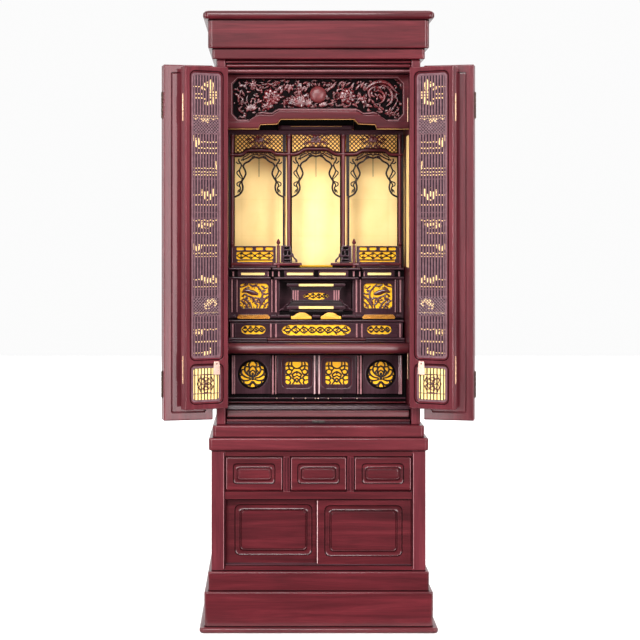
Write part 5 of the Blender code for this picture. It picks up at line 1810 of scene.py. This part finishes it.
# a dark strip painted as the shadow under the moulding
slab(base, -133.6, 133.6, -298, -156, 744, 746.2, 0.4, "ground", 1)
base.build("dais_foot_row", "cabinet", ["dais_base"], slot="dark_lacquer")
gilt, work = Shape(), Shape()
for s in (1, -1):
    cx = s * PX(253.4, RF)
    slab(gilt, cx - 36, cx + 36, -182.8, -181.9, 759, 786.5, 0.2,
         "gold_deep", 1)
    g = Relief(cx - 34, cx + 34, 760, 786, 0.55)
    braid(g, cx, PZ(329.8, RF), 31, 10.5, 2, 3.0)
    g.add_to(work, -182.0, "stroke")
slab(gilt, -98, 98, -182.8, -181.9, 756, 789, 0.2, "gold_deep", 1)
g = Relief(-95, 95, 757, 789, 0.6)
braid(g, 0, PZ(330.1, RF), 90, 13.0, 4, 3.4)
for s in (1, -1):
    g.stroke(smooth_path([(s * 92, 773), (s * 82, 768), (s * 72, 772),
                          (s * 60, 783)], 5), [2.0, 2.5, 2.5, 2.2], 1.0, 2.0)
g.add_to(work, -182.0, "stroke")
gilt.build("dais_foot_gilding", "cabinet", slot="gold_leaf")
work.build("dais_foot_carving", "cabinet", slot="carved_wood", angle=60,
           weighted=False)

# ----------------------------------------------------- deck and the lower row
deck = Shape()
slab(deck, -243, 243, -443.7, -54.3, 718.7, 739.0, 1.0, "inner_x", 2)
deck.build("altar_deck_board", "cabinet", ["altar_deck"], slot="dark_lacquer")

bow = Shape()
loops = []
for k in range(49):
    u = -1 + 2 * k / 48
    x = 242.0 * u
    nose = -28.4 - 18 * abs(u) ** 5
    ring = []
    for cx_, cz_, start in ((nose - 12, 746.0 - 12, 0), (-53.8 + 2, 744, 90),
                            (-53.8 + 2, 720.8, 180),
                            (nose - 12, 718.9 + 12, 270)):
        r = 12 if start in (0, 270) else 2
        for j in range(7):
            a = math.radians(start + 15 * j)
            ring.append((x, -(cx_ + r * math.cos(a)), cz_ + r * math.sin(a)))
    loops.append(ring)
loft(bow, loops, "gloss_x")
bow.build("bowed_front_rail", "cabinet", ["bowed_rail"])

LF = -130.0
row = Shape()
# a dark slab painted as the shade behind the boards
slab(row, -241.5, 241.5, -144, -139.5, 536.8, 718.2, 0.6, "ground", 1)
medal = mm([(252.7, 374.4)], LF)[0]
for s in (1, -1):
    circle = [(s * medal[0] + 38.5 * math.cos(2 * math.pi * k / 56),
               medal[1] + 38.5 * math.sin(2 * math.pi * k / 56))
              for k in range(56)]
    a, b = sorted((s * -231.5, s * -124.5))
    board(row, [[(a, 603.4), (b, 603.4), (b, 708), (a, 708)], circle],
          -139.8, -131.6, "inner_z", 1.0, 3)
    # the dark ring is painted as the shade round the sunk medallion
    for r_, w, mat, lift in ((37.2, 6.4, "ground", 0.0),
                             (42.6, 1.5, "inner_z", 0.2)):
        ring = [(s * medal[0] + r_ * math.cos(2 * math.pi * k / 64),
                 medal[1] + r_ * math.sin(2 * math.pi * k / 64))
                for k in range(64)]
        stem(row, ring, w, -132.0 + lift, mat, w * 0.7, 8, closed=True)
    for x in (a + 5, b - 5):
        rod(row, [(x, -131.8, 606), (x, -131.8, 706)], 0.9, "inner_z", 6)
    # sunk frame round the middle square, then the board with its window
    frame_ = rrect(*sorted((s * -93.6, s * -13.2)), 618.2, 702.4, 14, 6)
    window = rrect(*sorted((s * -84.4, s * -23.8)), 629.0, 689.2, 7, 5)
    a, b = sorted((s * -107.5, s * -0.2))
    board(row, [[(a, 603.4), (b, 603.4), (b, 708), (a, 708)], frame_],
          -139.8, -130.8, "inner_z", 2.2, 4)
    board(row, [inset_loop(frame_ if signed_area(frame_) > 0
                           else frame_[::-1], 0.4), window], -139.8, -134.2,
          "inner_z", 1.2, 3)
    stem(row, frame_, 1.6, -130.6, "lacquer_z", 1.4, 8, closed=True)
# pale pink and near-white beads, their colours painted highlights
for px, r, mat in ((232.6, 2.0, "rose"), (234.5, 1.6, "rose"),
                   (272.9, 2.9, "rose"), (275.8, 1.7, "rose"),
                   (314.6, 2.1, "blush")):
    upright(row, px, -128.4, 355.6, 394.0, r, mat)
level(row, -241, 241, -142, -134, 397.5, 399.1, 1.4, "inner_x")
level(row, -241, 241, -142, -132, 401.7, 403.2, 1.4, "lacquer_x")
for px in (276.7, 292.8, 305.5, 318.2):
    for s in (1, -1):
        x = s * PX(px, -133)
        dome(row, x, -133.4, PZ(398.3, -133), 2.4, 1.8, 2.0, "pink_brass", 12,
             7)
row.build("lower_row_boards", "cabinet", ["lower_row_panels"],
          slot="dark_lacquer")

gilt, work = Shape(), Shape()
for s in (1, -1):
    mx, mz = s * medal[0], medal[1]
    turned_disc = [[(mx + r_ * math.cos(2 * math.pi * k / 48), -f,
                     mz + r_ * math.sin(2 * math.pi * k / 48))
                    for k in range(48)]
                   for r_, f in ((38, -139.2), (38, -137.6), (37.6, -137.2))]
    loft(gilt, turned_disc, "gold_deep")
    g = Relief(mx - 38, mx + 38, mz - 38, mz + 38, 0.7)

    def arc(points, w, lift=1.0, rise=2.2):
        for way in (1, -1):
            g.stroke(smooth_path([(mx + way * u * 36, mz + v * 36)
                                  for u, v in points], 6),
                     [v * 1.65 for v in w], lift, rise)

    # the lotus: nested petals opening to each side round an upright one
    arc([(0, 0.62), (0.22, 0.46), (0.26, 0.16), (0.08, -0.22)],
        [2.4, 3.0, 3.0, 2.4])
    arc([(0.0, 0.30), (0.14, 0.20), (0.22, 0.02)], [2.2, 2.6, 2.0])
    arc([(0.24, 0.52), (0.52, 0.56), (0.60, 0.32), (0.46, 0.04),
         (0.16, -0.18)], [2.2, 3.0, 3.2, 3.0, 2.4])
    arc([(0.58, 0.36), (0.84, 0.30), (0.82, 0.02), (0.56, -0.20),
         (0.20, -0.30)], [2.2, 3.0, 3.2, 3.0, 2.4])
    arc([(0.78, -0.02), (0.96, -0.16), (0.80, -0.42), (0.46, -0.48),
         (0.14, -0.38)], [2.2, 2.8, 3.0, 2.8, 2.4])
    arc([(0.68, -0.46), (0.62, -0.72), (0.30, -0.80), (0.06, -0.56)],
        [2.2, 2.8, 3.0, 2.4])
    arc([(0.0, -0.58), (0.16, -0.78), (0.22, -0.98)], [3.0, 2.8, 2.0])
    arc([(0.10, 0.98), (0.30, 0.74), (0.24, 0.56)], [2.2, 2.8, 2.2])
    arc([(0.46, 0.88), (0.52, 0.70), (0.74, 0.62)], [2.2, 2.8, 2.2])
    arc([(0.34, 0.28), (0.42, 0.16), (0.34, 0.02)], [2.0, 2.2, 1.6])
    for u, v in ((0.0, 0.02), (0.0, -0.14), (0.0, -0.34)):
        g.blob(mx + u * 36, mz + v * 36, 3.4, 4.2, 0, 1.2, 2.4)
    g.clip(38 - np.hypot(g.X - mx, g.Z - mz))
    g.add_to(work, -137.4, "stroke")

    cx, cz = s * -54.1, 659.1
    slab(gilt, cx - 31.5, cx + 31.5, -138.6, -137.4, cz - 31.5, cz + 31.5,
         0.3, "gold_deep", 1)
    g = Relief(cx - 31, cx + 31, cz - 31, cz + 31, 0.7)

    def knot(points, w, lift=1.0, rise=2.2):
        for way in (1, -1):
            g.stroke(smooth_path([(cx + way * u * 30, cz + v * 30)
                                  for u, v in points], 6),
                     [v * 1.55 for v in w], lift, rise)

    # facing clouds over a spread of wings
    knot([(0.46, 0.98), (0.44, 0.66), (0.22, 0.46), (0.0, 0.40)],
         [2.4, 3.0, 2.8, 2.4])
    knot([(0.98, 0.62), (0.70, 0.66), (0.46, 0.60)], [2.2, 2.8, 2.4])
    knot([(0.70, 0.98), (0.74, 0.68), (0.66, 0.36), (0.42, 0.26),
          (0.26, 0.44)], [2.2, 2.6, 3.0, 2.8, 2.2])
    knot([(0.66, 0.36), (0.94, 0.22), (0.90, -0.06), (0.58, -0.10),
          (0.42, 0.24)], [2.2, 2.8, 3.0, 2.8, 2.2])
    knot([(0.0, 0.14), (0.22, 0.02), (0.40, -0.16), (0.28, -0.34),
          (0.0, -0.20)], [2.4, 3.0, 3.0, 2.8, 2.2])
    knot([(0.98, -0.24), (0.74, -0.20), (0.56, -0.40), (0.66, -0.62),
          (0.98, -0.60)], [2.2, 2.8, 3.0, 2.8, 2.2])
    knot([(0.54, -0.42), (0.30, -0.52), (0.22, -0.74), (0.40, -0.98)],
         [2.4, 3.0, 3.0, 2.4])
    knot([(0.0, -0.46), (0.14, -0.62), (0.0, -0.84)], [2.4, 2.8, 2.4])
    knot([(0.66, -0.64), (0.58, -0.86), (0.66, -0.98)], [2.2, 2.6, 2.2])
    g.blob(cx, cz + 1, 3.0, 4.0, 0, 1.2, 2.4)
    g.clip(np.minimum(31 - np.abs(g.X - cx), 31 - np.abs(g.Z - cz)))
    g.add_to(work, -137.6, "stroke")
gilt.build("lower_row_gilding", "cabinet", slot="gold_leaf")
work.build("lower_row_carving", "cabinet", slot="carved_wood", angle=60,
           weighted=False)

sill = Shape()
slab(sill, -243, 243, -60, -25.4, 573.8, 583.0, 1.0, "inner_x", 2)
for k in range(4):
    z = 574.9 + k * 2.25
    slab(sill, -243, 243, -30, -24.2, z - 0.75, z + 0.75, 0.7, "inner_x", 2)
sill.build("altar_sill_board", "cabinet", ["altar_sill"],
           slot="dark_lacquer")
rail_ = Shape()
slab(rail_, -240, 240, -36, -20, 553.8, 571.2, 2.6, "gloss_x", 4)
# a dark strip painted as the shadow gap under the rail
slab(rail_, -238, 238, -36, -23, 550.6, 554.4, 0.8, "ground", 1)
slab(rail_, -238.8, 238.8, -24, -19.4, 566.6, 569.6, 1.2, "lacquer_x", 3)
rail_.build("altar_front_rail", "cabinet", ["front_rail"])
rail_ = Shape()
slab(rail_, -241, 241, -36, -10, 543.0, 549.0, 2.4, "lacquer_x", 4)
slab(rail_, -241, 241, -36, -13, 536.7, 543.4, 1.6, "inner_x", 3)
slab(rail_, -15.4, 17.6, -16, -8.2, 540.4, 546.4, 0.8, "iron", 2)
rail_.build("altar_thin_rail", "cabinet", ["thin_rail"])

# --------------------------------------------------------------------- doors
HINGE_Z = (644.0, 1372.0)
LATTICE_HINGE_Z = (686.0, 1363.0)


def leaf_matrix(side, pin_x, pin_f, opening):
    return (Matrix.Translation((-side * pin_x, -pin_f, 0))
            @ Matrix.Rotation(-math.radians(180 - opening) * side, 4, "Z"))


def to_local(sx_, dx, sy_, dy):
    """From a leaf's own (width, -depth, z) to its hinge's frame."""
    return Matrix(((sx_, 0, 0, dx), (0, sy_, 0, dy), (0, 0, 1, 0),
                   (0, 0, 0, 1)))


def panel_leaf(width, z0, z1, thick):
    """An outer leaf: a sunk panel on both faces and notches for hinges."""
    shape, loops, R = Shape(), [], 3.0

    def loop(inset, inz, v, r, notch=0.0):
        x0, x1 = inset, width - inset
        pts = rrect(x0, x1, z0 + inz, z1 - inz, r, 5)
        for z in HINGE_Z:
            d = max(notch - inset, 0)
            pts += [(x1, z - 37), (x1 - d, z - 37), (x1 - d, z + 37),
                    (x1, z + 37)]
        loops.append([(x, -v, z) for x, z in pts])

    sunk = ((23.6, 24.2, 1.6, 3.0), (22.4, 23.0, 2.0, 3.2),
            (21.8, 22.4, 4.6, 3.4), (19.9, 20.4, 4.8, 3.8),
            (19.5, 20.0, 0.9, 4.0), (18.7, 19.2, 0.0, 4.6))
    for inset, inz, v, r in sunk:
        loop(inset, inz, v, r)
    for t in arc_steps(4):
        loop(R * (1 - math.sin(t)), R * (1 - math.sin(t)),
             R * (1 - math.cos(t)), 1.5 + R * math.sin(t) * 0.3)
    loop(0, 0, thick - 4.6, 2.4)
    loop(0, 0, thick - 4.55, 2.4, 4.4)
    for t in arc_steps(4):
        loop(R * (1 - math.cos(t)), R * (1 - math.cos(t)),
             thick - R * (1 - math.sin(t)), 1.5 + R * math.cos(t) * 0.3, 4.4)
    for inset, inz, v, r in reversed(sunk):
        loop(inset, inz, thick - v, r)
    loft(shape, loops, "lacquer_z")
    return shape


LW, LZ0, LZ1, LT = 119.8, 583.5, 1469.6, 16.0


def LU(px):
    return LW - (px - 186.6) / 42.9 * LW


def LV(py):
    return 1457.1 - (py - 71.7) * 2.592


def lattice_leaf():
    """A framed leaf: a tall grille of bars and a low square one, the same
    on both faces. Returns the woodwork and its gilding."""
    wood, gold = Shape(), Shape()
    openings = ((LZ0 + 127.0, LZ1 - 12.5), (LZ0 + 14.0, LZ0 + 116.5))

    def hole_at(z0, z1, inset, r):
        return rrect(13.5 + inset, LW - 13.5 - inset, z0 + inset,
                     z1 - inset, r, 7)

    outline_ = rrect(0, LW, LZ0, LZ1, 2.0, 3)
    board(wood, [outline_] + [hole_at(a, b, 0, 14) for a, b in openings],
          0, LT, "lacquer_z", 2.4, 4, 2.2)
    for a, b in openings:
        board(wood, [hole_at(a, b, -0.6, 14.4), hole_at(a, b, 5.0, 10)],
              2.2, LT - 2.2, "lacquer_z", 3.4, 5, 3.0)
        board(wood, [hole_at(a, b, 4.6, 10.3), hole_at(a, b, 11.0, 5)],
              5.4, LT - 5.4, "mauve", 0.8, 2, 0.8)
    # painted shadow: dark lines round the openings, on both faces
    for a, b in openings:
        for f in (2.1, LT - 2.1):
            stem(wood, hole_at(a, b, 0.2, 13.8), 2.2, f, "ground", 1.6, 6,
                 closed=True)
    # painted highlight: a pink line round the leaf's edge, on both faces
    for f in (1.0, LT - 1.0):
        stem(wood, rrect(2.0, LW - 2.0, LZ0 + 2.0, LZ1 - 2.0, 1.0, 2), 1.5, f,
             "rose", 1.2, 6, closed=True)
    u0, u1 = 24.0, LW - 24.0

    def both_faces(shape, x0, x1, near, far, z0, z1, r, mat):
        """A bar on each face; near and far are depths from the middle."""
        slab(shape, x0, x1, 8 + near, 8 + far, z0, z1, r, mat, 1)
        slab(shape, x0, x1, 8 - far, 8 - near, z0, z1, r, mat, 1)

    a, b = openings[0]
    top, low = b - 10.6, a + 10.6
    slab(wood, u0, u1, 7.75, 8.25, low, top, 0.1, "gauze", 1)
    hatch = [(LV(134.2), LV(117.0)), (LV(315.2), LV(296.6))]
    cuts = [low, hatch[1][0], hatch[1][1], hatch[0][0], hatch[0][1], top]
    n = 9
    pitch = (u1 - u0) / n
    for z0, z1 in (cuts[0:2], cuts[2:4], cuts[4:6]):
        for k in range(n):
            u = u0 + (k + 0.5) * pitch
            both_faces(wood, u - 2.2, u + 2.2, 1.0, 2.5, z0, z1, 0.5,
                       "mauve")
    for z0, z1 in hatch:
        cross = Shape()
        lattice_lines(cross, u0, u1, z0, z1, 8.2, 2.3, 9.4, "mauve", 1.0)
        wood.merge(cross)
        wood.merge(cross, Matrix(((1, 0, 0, 0), (0, -1, 0, -16),
                                  (0, 0, 1, 0), (0, 0, 0, 1))))
    for y in (115.6, 134.2, 179.3, 212.5, 218.2, 257.0, 289.5, 296.2, 315.7,
              322.2):
        z = LV(y)
        both_faces(wood, u0, u1, 1.4, 3.0, z - 0.95, z + 0.95, 0.4, "mauve")
    # mist and birds in pale gold behind the bars
    g = Relief(u0 + 0.5, u1 - 0.5, low, top, 1.2)

    def cloud(x0, y0, x1, y1, seed):
        rr = random.Random(seed)
        cz, h = LV((y0 + y1) / 2), (y1 - y0) * 2.592
        ua, ub = sorted((LU(x0), LU(x1)))
        k = max(int((ub - ua) / 6), 2)
        for j in range(k):
            t = (j + 0.5) / k
            g.blob(ua + (ub - ua) * t, cz + rr.uniform(-0.26, 0.26) * h,
                   (ub - ua) / k * 0.62, h * rr.uniform(0.16, 0.34),
                   rr.uniform(-0.3, 0.3), 0.25, 0.35)
            g.blob(ua + (ub - ua) * rr.random(),
                   cz + rr.uniform(-0.5, 0.5) * h, 3.2, 1.6,
                   rr.uniform(-0.8, 0.8), 0.25, 0.35)

    def mist(x0, x1, y, width, wave=1.0):
        ua, ub = sorted((LU(x0), LU(x1)))
        path = [(ua + (ub - ua) * t / 24, LV(y) + wave * math.sin(t * 1.1))
                for t in range(25)]
        g.stroke(path, [width] * 3, 0.25, 0.35)

    def dots(x0, x1, y, size):
        ua, ub = sorted((LU(x0), LU(x1)))
        u = u0 + pitch
        while u < u1 - 2:
            if ua - 3 < u < ub + 3:
                g.blob(u, LV(y), size, size, 0, 0.25, 0.4)
            u += pitch

    cloud(204, 82, 215, 92.4, 1)
    g.blob(LU(212.2), LV(83.5), 3.4, 11, 0.3, 0.25, 0.4)
    g.blob(LU(214.8), LV(84.4), 2.6, 7, -0.2, 0.25, 0.4)
    mist(194.5, 202, 87.4, 2.6, 0.2)
    for y in (92.4, 95.2, 97.8):
        dots(211, 220, y, 2.6)
    dots(195, 203, 94.6, 1.9)
    dots(195, 203, 98.6, 2.2)
    cloud(207, 99, 217, 108, 2)
    mist(195, 220, 116.2, 3.4, 0.6)
    mist(195, 220, 119.0, 3.0, 1.6)
    cloud(204, 118, 211, 122.6, 12)
    cloud(195, 134.6, 201.5, 147, 3)
    mist(203, 220, 142.4, 2.4)
    mist(200, 220, 148.4, 2.6)
    dots(195, 220, 153.4, 1.8)
    for y in (168.5, 172.2, 175.2):
        mist(195, 220, y, 2.2, 0.5)
    cloud(216.5, 161, 220, 170, 4)
    cloud(204, 187, 216.5, 200.4, 5)
    mist(195, 220, 195.2, 2.4, 0.4)
    dots(195, 220, 205, 1.8)
    mist(195, 220, 220.6, 2.6, 1.2)
    cloud(199, 222, 215, 228.6, 6)
    mist(195, 213, 233.2, 2.2)
    cloud(195, 241, 203.5, 252, 7)
    mist(195, 220, 253.4, 2.8, 1.2)
    mist(198, 220, 256.6, 2.2, 0.4)
    dots(203, 220, 245.4, 2.0)
    cloud(203, 275, 219, 283.4, 8)
    mist(195, 220, 279.4, 2.6, 0.8)
    mist(195, 220, 286.6, 2.0, 0.4)
    cloud(206.5, 297, 219, 308.6, 9)
    mist(195, 220, 312.6, 2.2, 0.6)
    mist(195, 220, 329.4, 2.6, 1.0)
    cloud(196, 330, 206, 336, 10)
    dots(195, 220, 341.4, 2.0)
    cloud(205.5, 348.4, 213, 355, 11)
    mist(195, 205, 352.4, 2.0, 0.4)
    flip_face = Matrix(((1, 0, 0, 0), (0, -1, 0, -16), (0, 0, 1, 0),
                        (0, 0, 0, 1)))
    g.add_to(gold, 8.2, "gold_mist")
    g.add_to(gold, 8.2, "gold_mist", flip_face)

    # the low grille: a gilt ground, upright bars and an entwined rosette
    a, b = openings[1]
    top, low = b - 10.4, a + 10.4
    slab(gold, u0, u1, 7.4, 8.6, low, top, 0.1, "gold_cream", 1)
    for k in range(8):
        u = u0 + (k + 0.5) * (u1 - u0) / 8
        both_faces(wood, u - 1.5, u + 1.5, 0.9, 2.2, low, top, 0.5, "stroke")
    for y in (374.3, 393.0):
        z = LV(y)
        both_faces(wood, u0, u1, 1.2, 2.8, z - 1.0, z + 1.0, 0.4, "mauve")
    cu, cz = LU(207.6), LV(383.2)
    knotwork = Shape()
    for k in range(6):
        a_ = math.pi / 3 * k + math.pi / 6
        path = []
        for j in range(21):
            t = 2 * math.pi * j / 20
            lu, lv = 10.6 + 10.2 * math.cos(t), 6.6 * math.sin(t)
            path.append((cu + lu * math.cos(a_) - lv * math.sin(a_),
                         cz + (lu * math.sin(a_) + lv * math.cos(a_)) * 1.12))
        stem(knotwork, path[:-1], 2.1, 10.9, "plum", 1.8, 6, closed=True)
    for r_, turn_ in ((24.6, 0.0), (15.0, math.pi / 6)):
        path = []
        for k in range(6):
            for t in (0.0, 0.5):
                a0 = math.pi / 3 * k + turn_
                a1 = a0 + math.pi / 3
                path.append((cu + r_ * ((1 - t) * math.cos(a0)
                                        + t * math.cos(a1)),
                             cz + 1.12 * r_ * ((1 - t) * math.sin(a0)
                                               + t * math.sin(a1))))
        stem(knotwork, path, 2.0, 10.7, "plum", 1.8, 6, closed=True)
    dome(knotwork, cu, 11.0, cz, 3.0, 1.4, 3.2, "plum", 12, 7)
    wood.merge(knotwork)
    wood.merge(knotwork, flip_face)
    return wood, gold


outer_leaf = panel_leaf(130.0, 550.4, 1476.9, 18.5)
lattice_wood, lattice_gold = lattice_leaf()
for name, side in (("left", 1), ("right", -1)):
    S = Matrix.Diagonal((side, 1, 1, 1))
    # outer pair
    turn = leaf_matrix(side, 269.5, 6.0, 13.0)
    fold = turn @ Matrix.Translation((side * 136.9, -19.25, 0))
    shape = Shape()
    shape.merge(outer_leaf, turn @ S @ to_local(1, 6.5, 1, 0))
    shape.build(name + "_outer_leaf_panel", name + "_outer_leaf",
                [f"outer_door_{name}_1"])
    half_turn = Matrix.Rotation(math.pi, 4, "Z")
    shape = Shape()
    shape.merge(outer_leaf, fold @ half_turn @ S
                @ to_local(-1, 130.4, 1, 19.25))
    shape.build(name + "_outer_fold_panel", name + "_outer_fold",
                [f"outer_door_{name}_2"])
    hinge = Shape()
    for z in HINGE_Z:
        hinge_leaf(hinge, 0, 0, z - 34, z + 34, 3.5, "bronze", 5)
    shape = Shape()
    shape.merge(hinge, fold)
    shape.build(name + "_outer_fold_hinges", name + "_outer_leaf",
                [f"fold_hinge_{name}_lower", f"fold_hinge_{name}_upper"],
                slot="hinge_metal")
    shape = Shape()
    for z in HINGE_Z:
        hinge_leaf(shape, -side * 269.5, 6.0, z - 34, z + 34, 2.8, "bronze",
                   5)
        a, b = sorted((-side * 270.0, -side * 254.0))
        slab(shape, a, b, 0.4, 2.4, z - 34, z + 34, 0.6, "bronze", 2)
        a, b = sorted((-side * 270.3, -side * 267.2))
        slab(shape, a, b, 0.4, 5.0, z - 33.6, z + 33.6, 0.6, "bronze", 2)
        for dz in (-24, 0, 24):
            dome(shape, -side * 259.5, 2.4, z + dz, 2.6, 0.9, 2.6, "iron", 12,
                 6)
    shape.build(name + "_post_hinges", "cabinet",
                [f"post_hinge_{name}_lower", f"post_hinge_{name}_upper"],
                slot="hinge_metal")
    # lattice pair
    turn = leaf_matrix(side, 246.5, 1.5, 25.0)
    fold = turn @ Matrix.Translation((side * 123.7, 18.25, 0))
    turned_ = fold @ half_turn
    for n, matrix, ride_on in (
            (1, turn @ S @ to_local(1, 3.5, -1, 1.5), "_lattice_leaf"),
            (2, turned_ @ S @ to_local(-1, 120.2, -1, -16.75),
             "_lattice_fold")):
        shape = Shape()
        shape.merge(lattice_wood, matrix)
        shape.build(f"{name}_lattice_frame_{n}", name + ride_on,
                    [f"lattice_{name}_{n}"], angle=40)
        shape = Shape()
        shape.merge(lattice_gold, matrix)
        shape.build(f"{name}_lattice_gilding_{n}", name + ride_on,
                    slot="gold_leaf", weighted=False)
    hinge = Shape()
    for z in LATTICE_HINGE_Z:
        hinge_leaf(hinge, 0, 0, z - 35, z + 35, 1.9, "cream_brass", 3)
    shape = Shape()
    shape.merge(hinge, fold)
    shape.build(name + "_lattice_fold_hinges", name + "_lattice_leaf",
                slot="hinge_metal")
    shape = Shape()
    for z in LATTICE_HINGE_Z:
        a, b = sorted((-side * 238.4, -side * 240.6))
        slab(shape, a, b, -60, -56.8, z - 35, z + 35, 0.6, "cream_brass", 2)
        a, b = sorted((-side * 240.2, -side * 243.1))
        slab(shape, a, b, -60, -57.4, z - 35, z + 35, 0.6, "bronze", 2)
    shape.build(name + "_lattice_stop_plates", "cabinet",
                slot="hinge_metal")
    # pull tag
    tag = Shape()
    edge = [(79.9, 706.6), (93.5, 706.6), (94.6, 700), (96.0, 674),
            (95.0, 672.2), (78.4, 672.2), (77.4, 674), (78.8, 700)]
    board(tag, [edge], 17.2, 18.9, "pink_brass", 0.6, 3, 0.3)
    # a black dot painted as the shade in the pin hole
    dome(tag, 86.7, 18.7, 700.6, 2.2, 0.5, 2.2, "ground", 16, 8)
    ring = [(86.7 + 3.1 * math.cos(2 * math.pi * k / 24),
             700.6 + 3.1 * math.sin(2 * math.pi * k / 24)) for k in range(24)]
    stem(tag, ring, 0.9, 18.8, "pink_brass", 0.6, 6, closed=True)
    shape = Shape()
    shape.merge(tag, turned_ @ S)
    shape.build(name + "_pull_tag_plate", name + "_lattice_fold",
                ["pull_tag_" + name], slot="tag_metal")

# ====================================================================== studio
floor_mesh = bpy.data.meshes.new("studio_floor")
bm = bmesh.new()
bmesh.ops.create_grid(bm, x_segments=1, y_segments=1, size=4.4)
bm.to_mesh(floor_mesh)
bm.free()
floor = bpy.data.objects.new("studio_floor", floor_mesh)
bpy.context.scene.collection.objects.link(floor)
floor.location = (0, 4.09, -0.0005)
pale, nodes, links, shader = node_material("pale_floor")
shader.inputs["Base Color"].default_value = (0.90, 0.90, 0.90, 1)
shader.inputs["Roughness"].default_value = 0.55
floor_mesh.materials.append(pale)

world = bpy.data.worlds.new("studio_world")
bpy.context.scene.world = world
world.use_nodes = True
background = world.node_tree.nodes["Background"]
# a white cyclorama behind the cabinet, a dim room in front of it
tree = world.node_tree
coord = tree.nodes.new("ShaderNodeTexCoord")
parts = tree.nodes.new("ShaderNodeSeparateXYZ")
tree.links.new(coord.outputs["Generated"], parts.inputs["Vector"])
shade = ramp(tree.nodes, tree.links, parts.outputs["Y"],
             [(0.0, (0.10, 0.095, 0.10)), (0.10, (0.30, 0.30, 0.30)),
              (0.45, (0.97, 0.97, 0.97))])
tree.links.new(shade, background.inputs["Color"])
background.inputs["Strength"].default_value = 1.0


def softbox(name, place, target, size, power, colour=(1, 1, 1)):
    data = bpy.data.lights.new(name, "AREA")
    data.shape = "RECTANGLE"
    data.size, data.size_y = size
    data.energy = power
    data.color = colour
    lamp = bpy.data.objects.new(name, data)
    bpy.context.scene.collection.objects.link(lamp)
    lamp.location = place
    lamp.rotation_euler = (Vector(target) - Vector(place)).to_track_quat(
        "-Z", "Y").to_euler()
    return lamp


softbox("front_box", (-0.6, -4.4, 3.1), (0, 0, 0.9), (2.2, 1.2), 205)
softbox("left_box", (-1.95, -4.0, 1.25), (0, -0.1, 1.1), (0.8, 2.1), 66)
softbox("right_box", (1.95, -4.0, 1.25), (0, -0.1, 1.1), (0.8, 2.1), 66)
softbox("left_side", (-1.42, -4.1, 1.15), (0, -0.1, 1.1), (0.8, 2.6), 68,
        (1.0, 0.87, 0.88))
softbox("right_side", (1.42, -4.1, 1.15), (0, -0.1, 1.1), (0.8, 2.6), 68,
        (1.0, 0.87, 0.88))
softbox("left_rim", (-2.8, -1.2, 1.5), (-0.1, -0.1, 1.0), (0.5, 2.4), 70)
softbox("right_rim", (2.8, -1.2, 1.5), (0.1, -0.1, 1.0), (0.5, 2.4), 70)
softbox("top_box", (0, -1.2, 3.6), (0, 0, 0.9), (2.4, 1.2), 34)
softbox("floor_box", (0, 4.4, 5.0), (0, 4.4, 0), (12.0, 8.0), 820)

camera_data = bpy.data.cameras.new("photo_camera")
camera = bpy.data.objects.new("photo_camera", camera_data)
bpy.context.scene.collection.objects.link(camera)
camera.location = (CAM_X / 1000, (POST_Y - CAM_DIST) / 1000, CAM_Z / 1000)
camera.rotation_euler = (math.pi / 2, 0, 0)
camera_data.sensor_width = 36.0
camera_data.lens = 36.0 * CAM_DIST / (640 * PX_MM)
camera_data.shift_x = 50 / 640
camera_data.shift_y = -90 / 640
camera_data.clip_end = 60
bpy.context.scene.camera = camera
bpy.context.scene.view_settings.view_transform = "Standard"
bpy.context.scene.view_settings.look = "None"
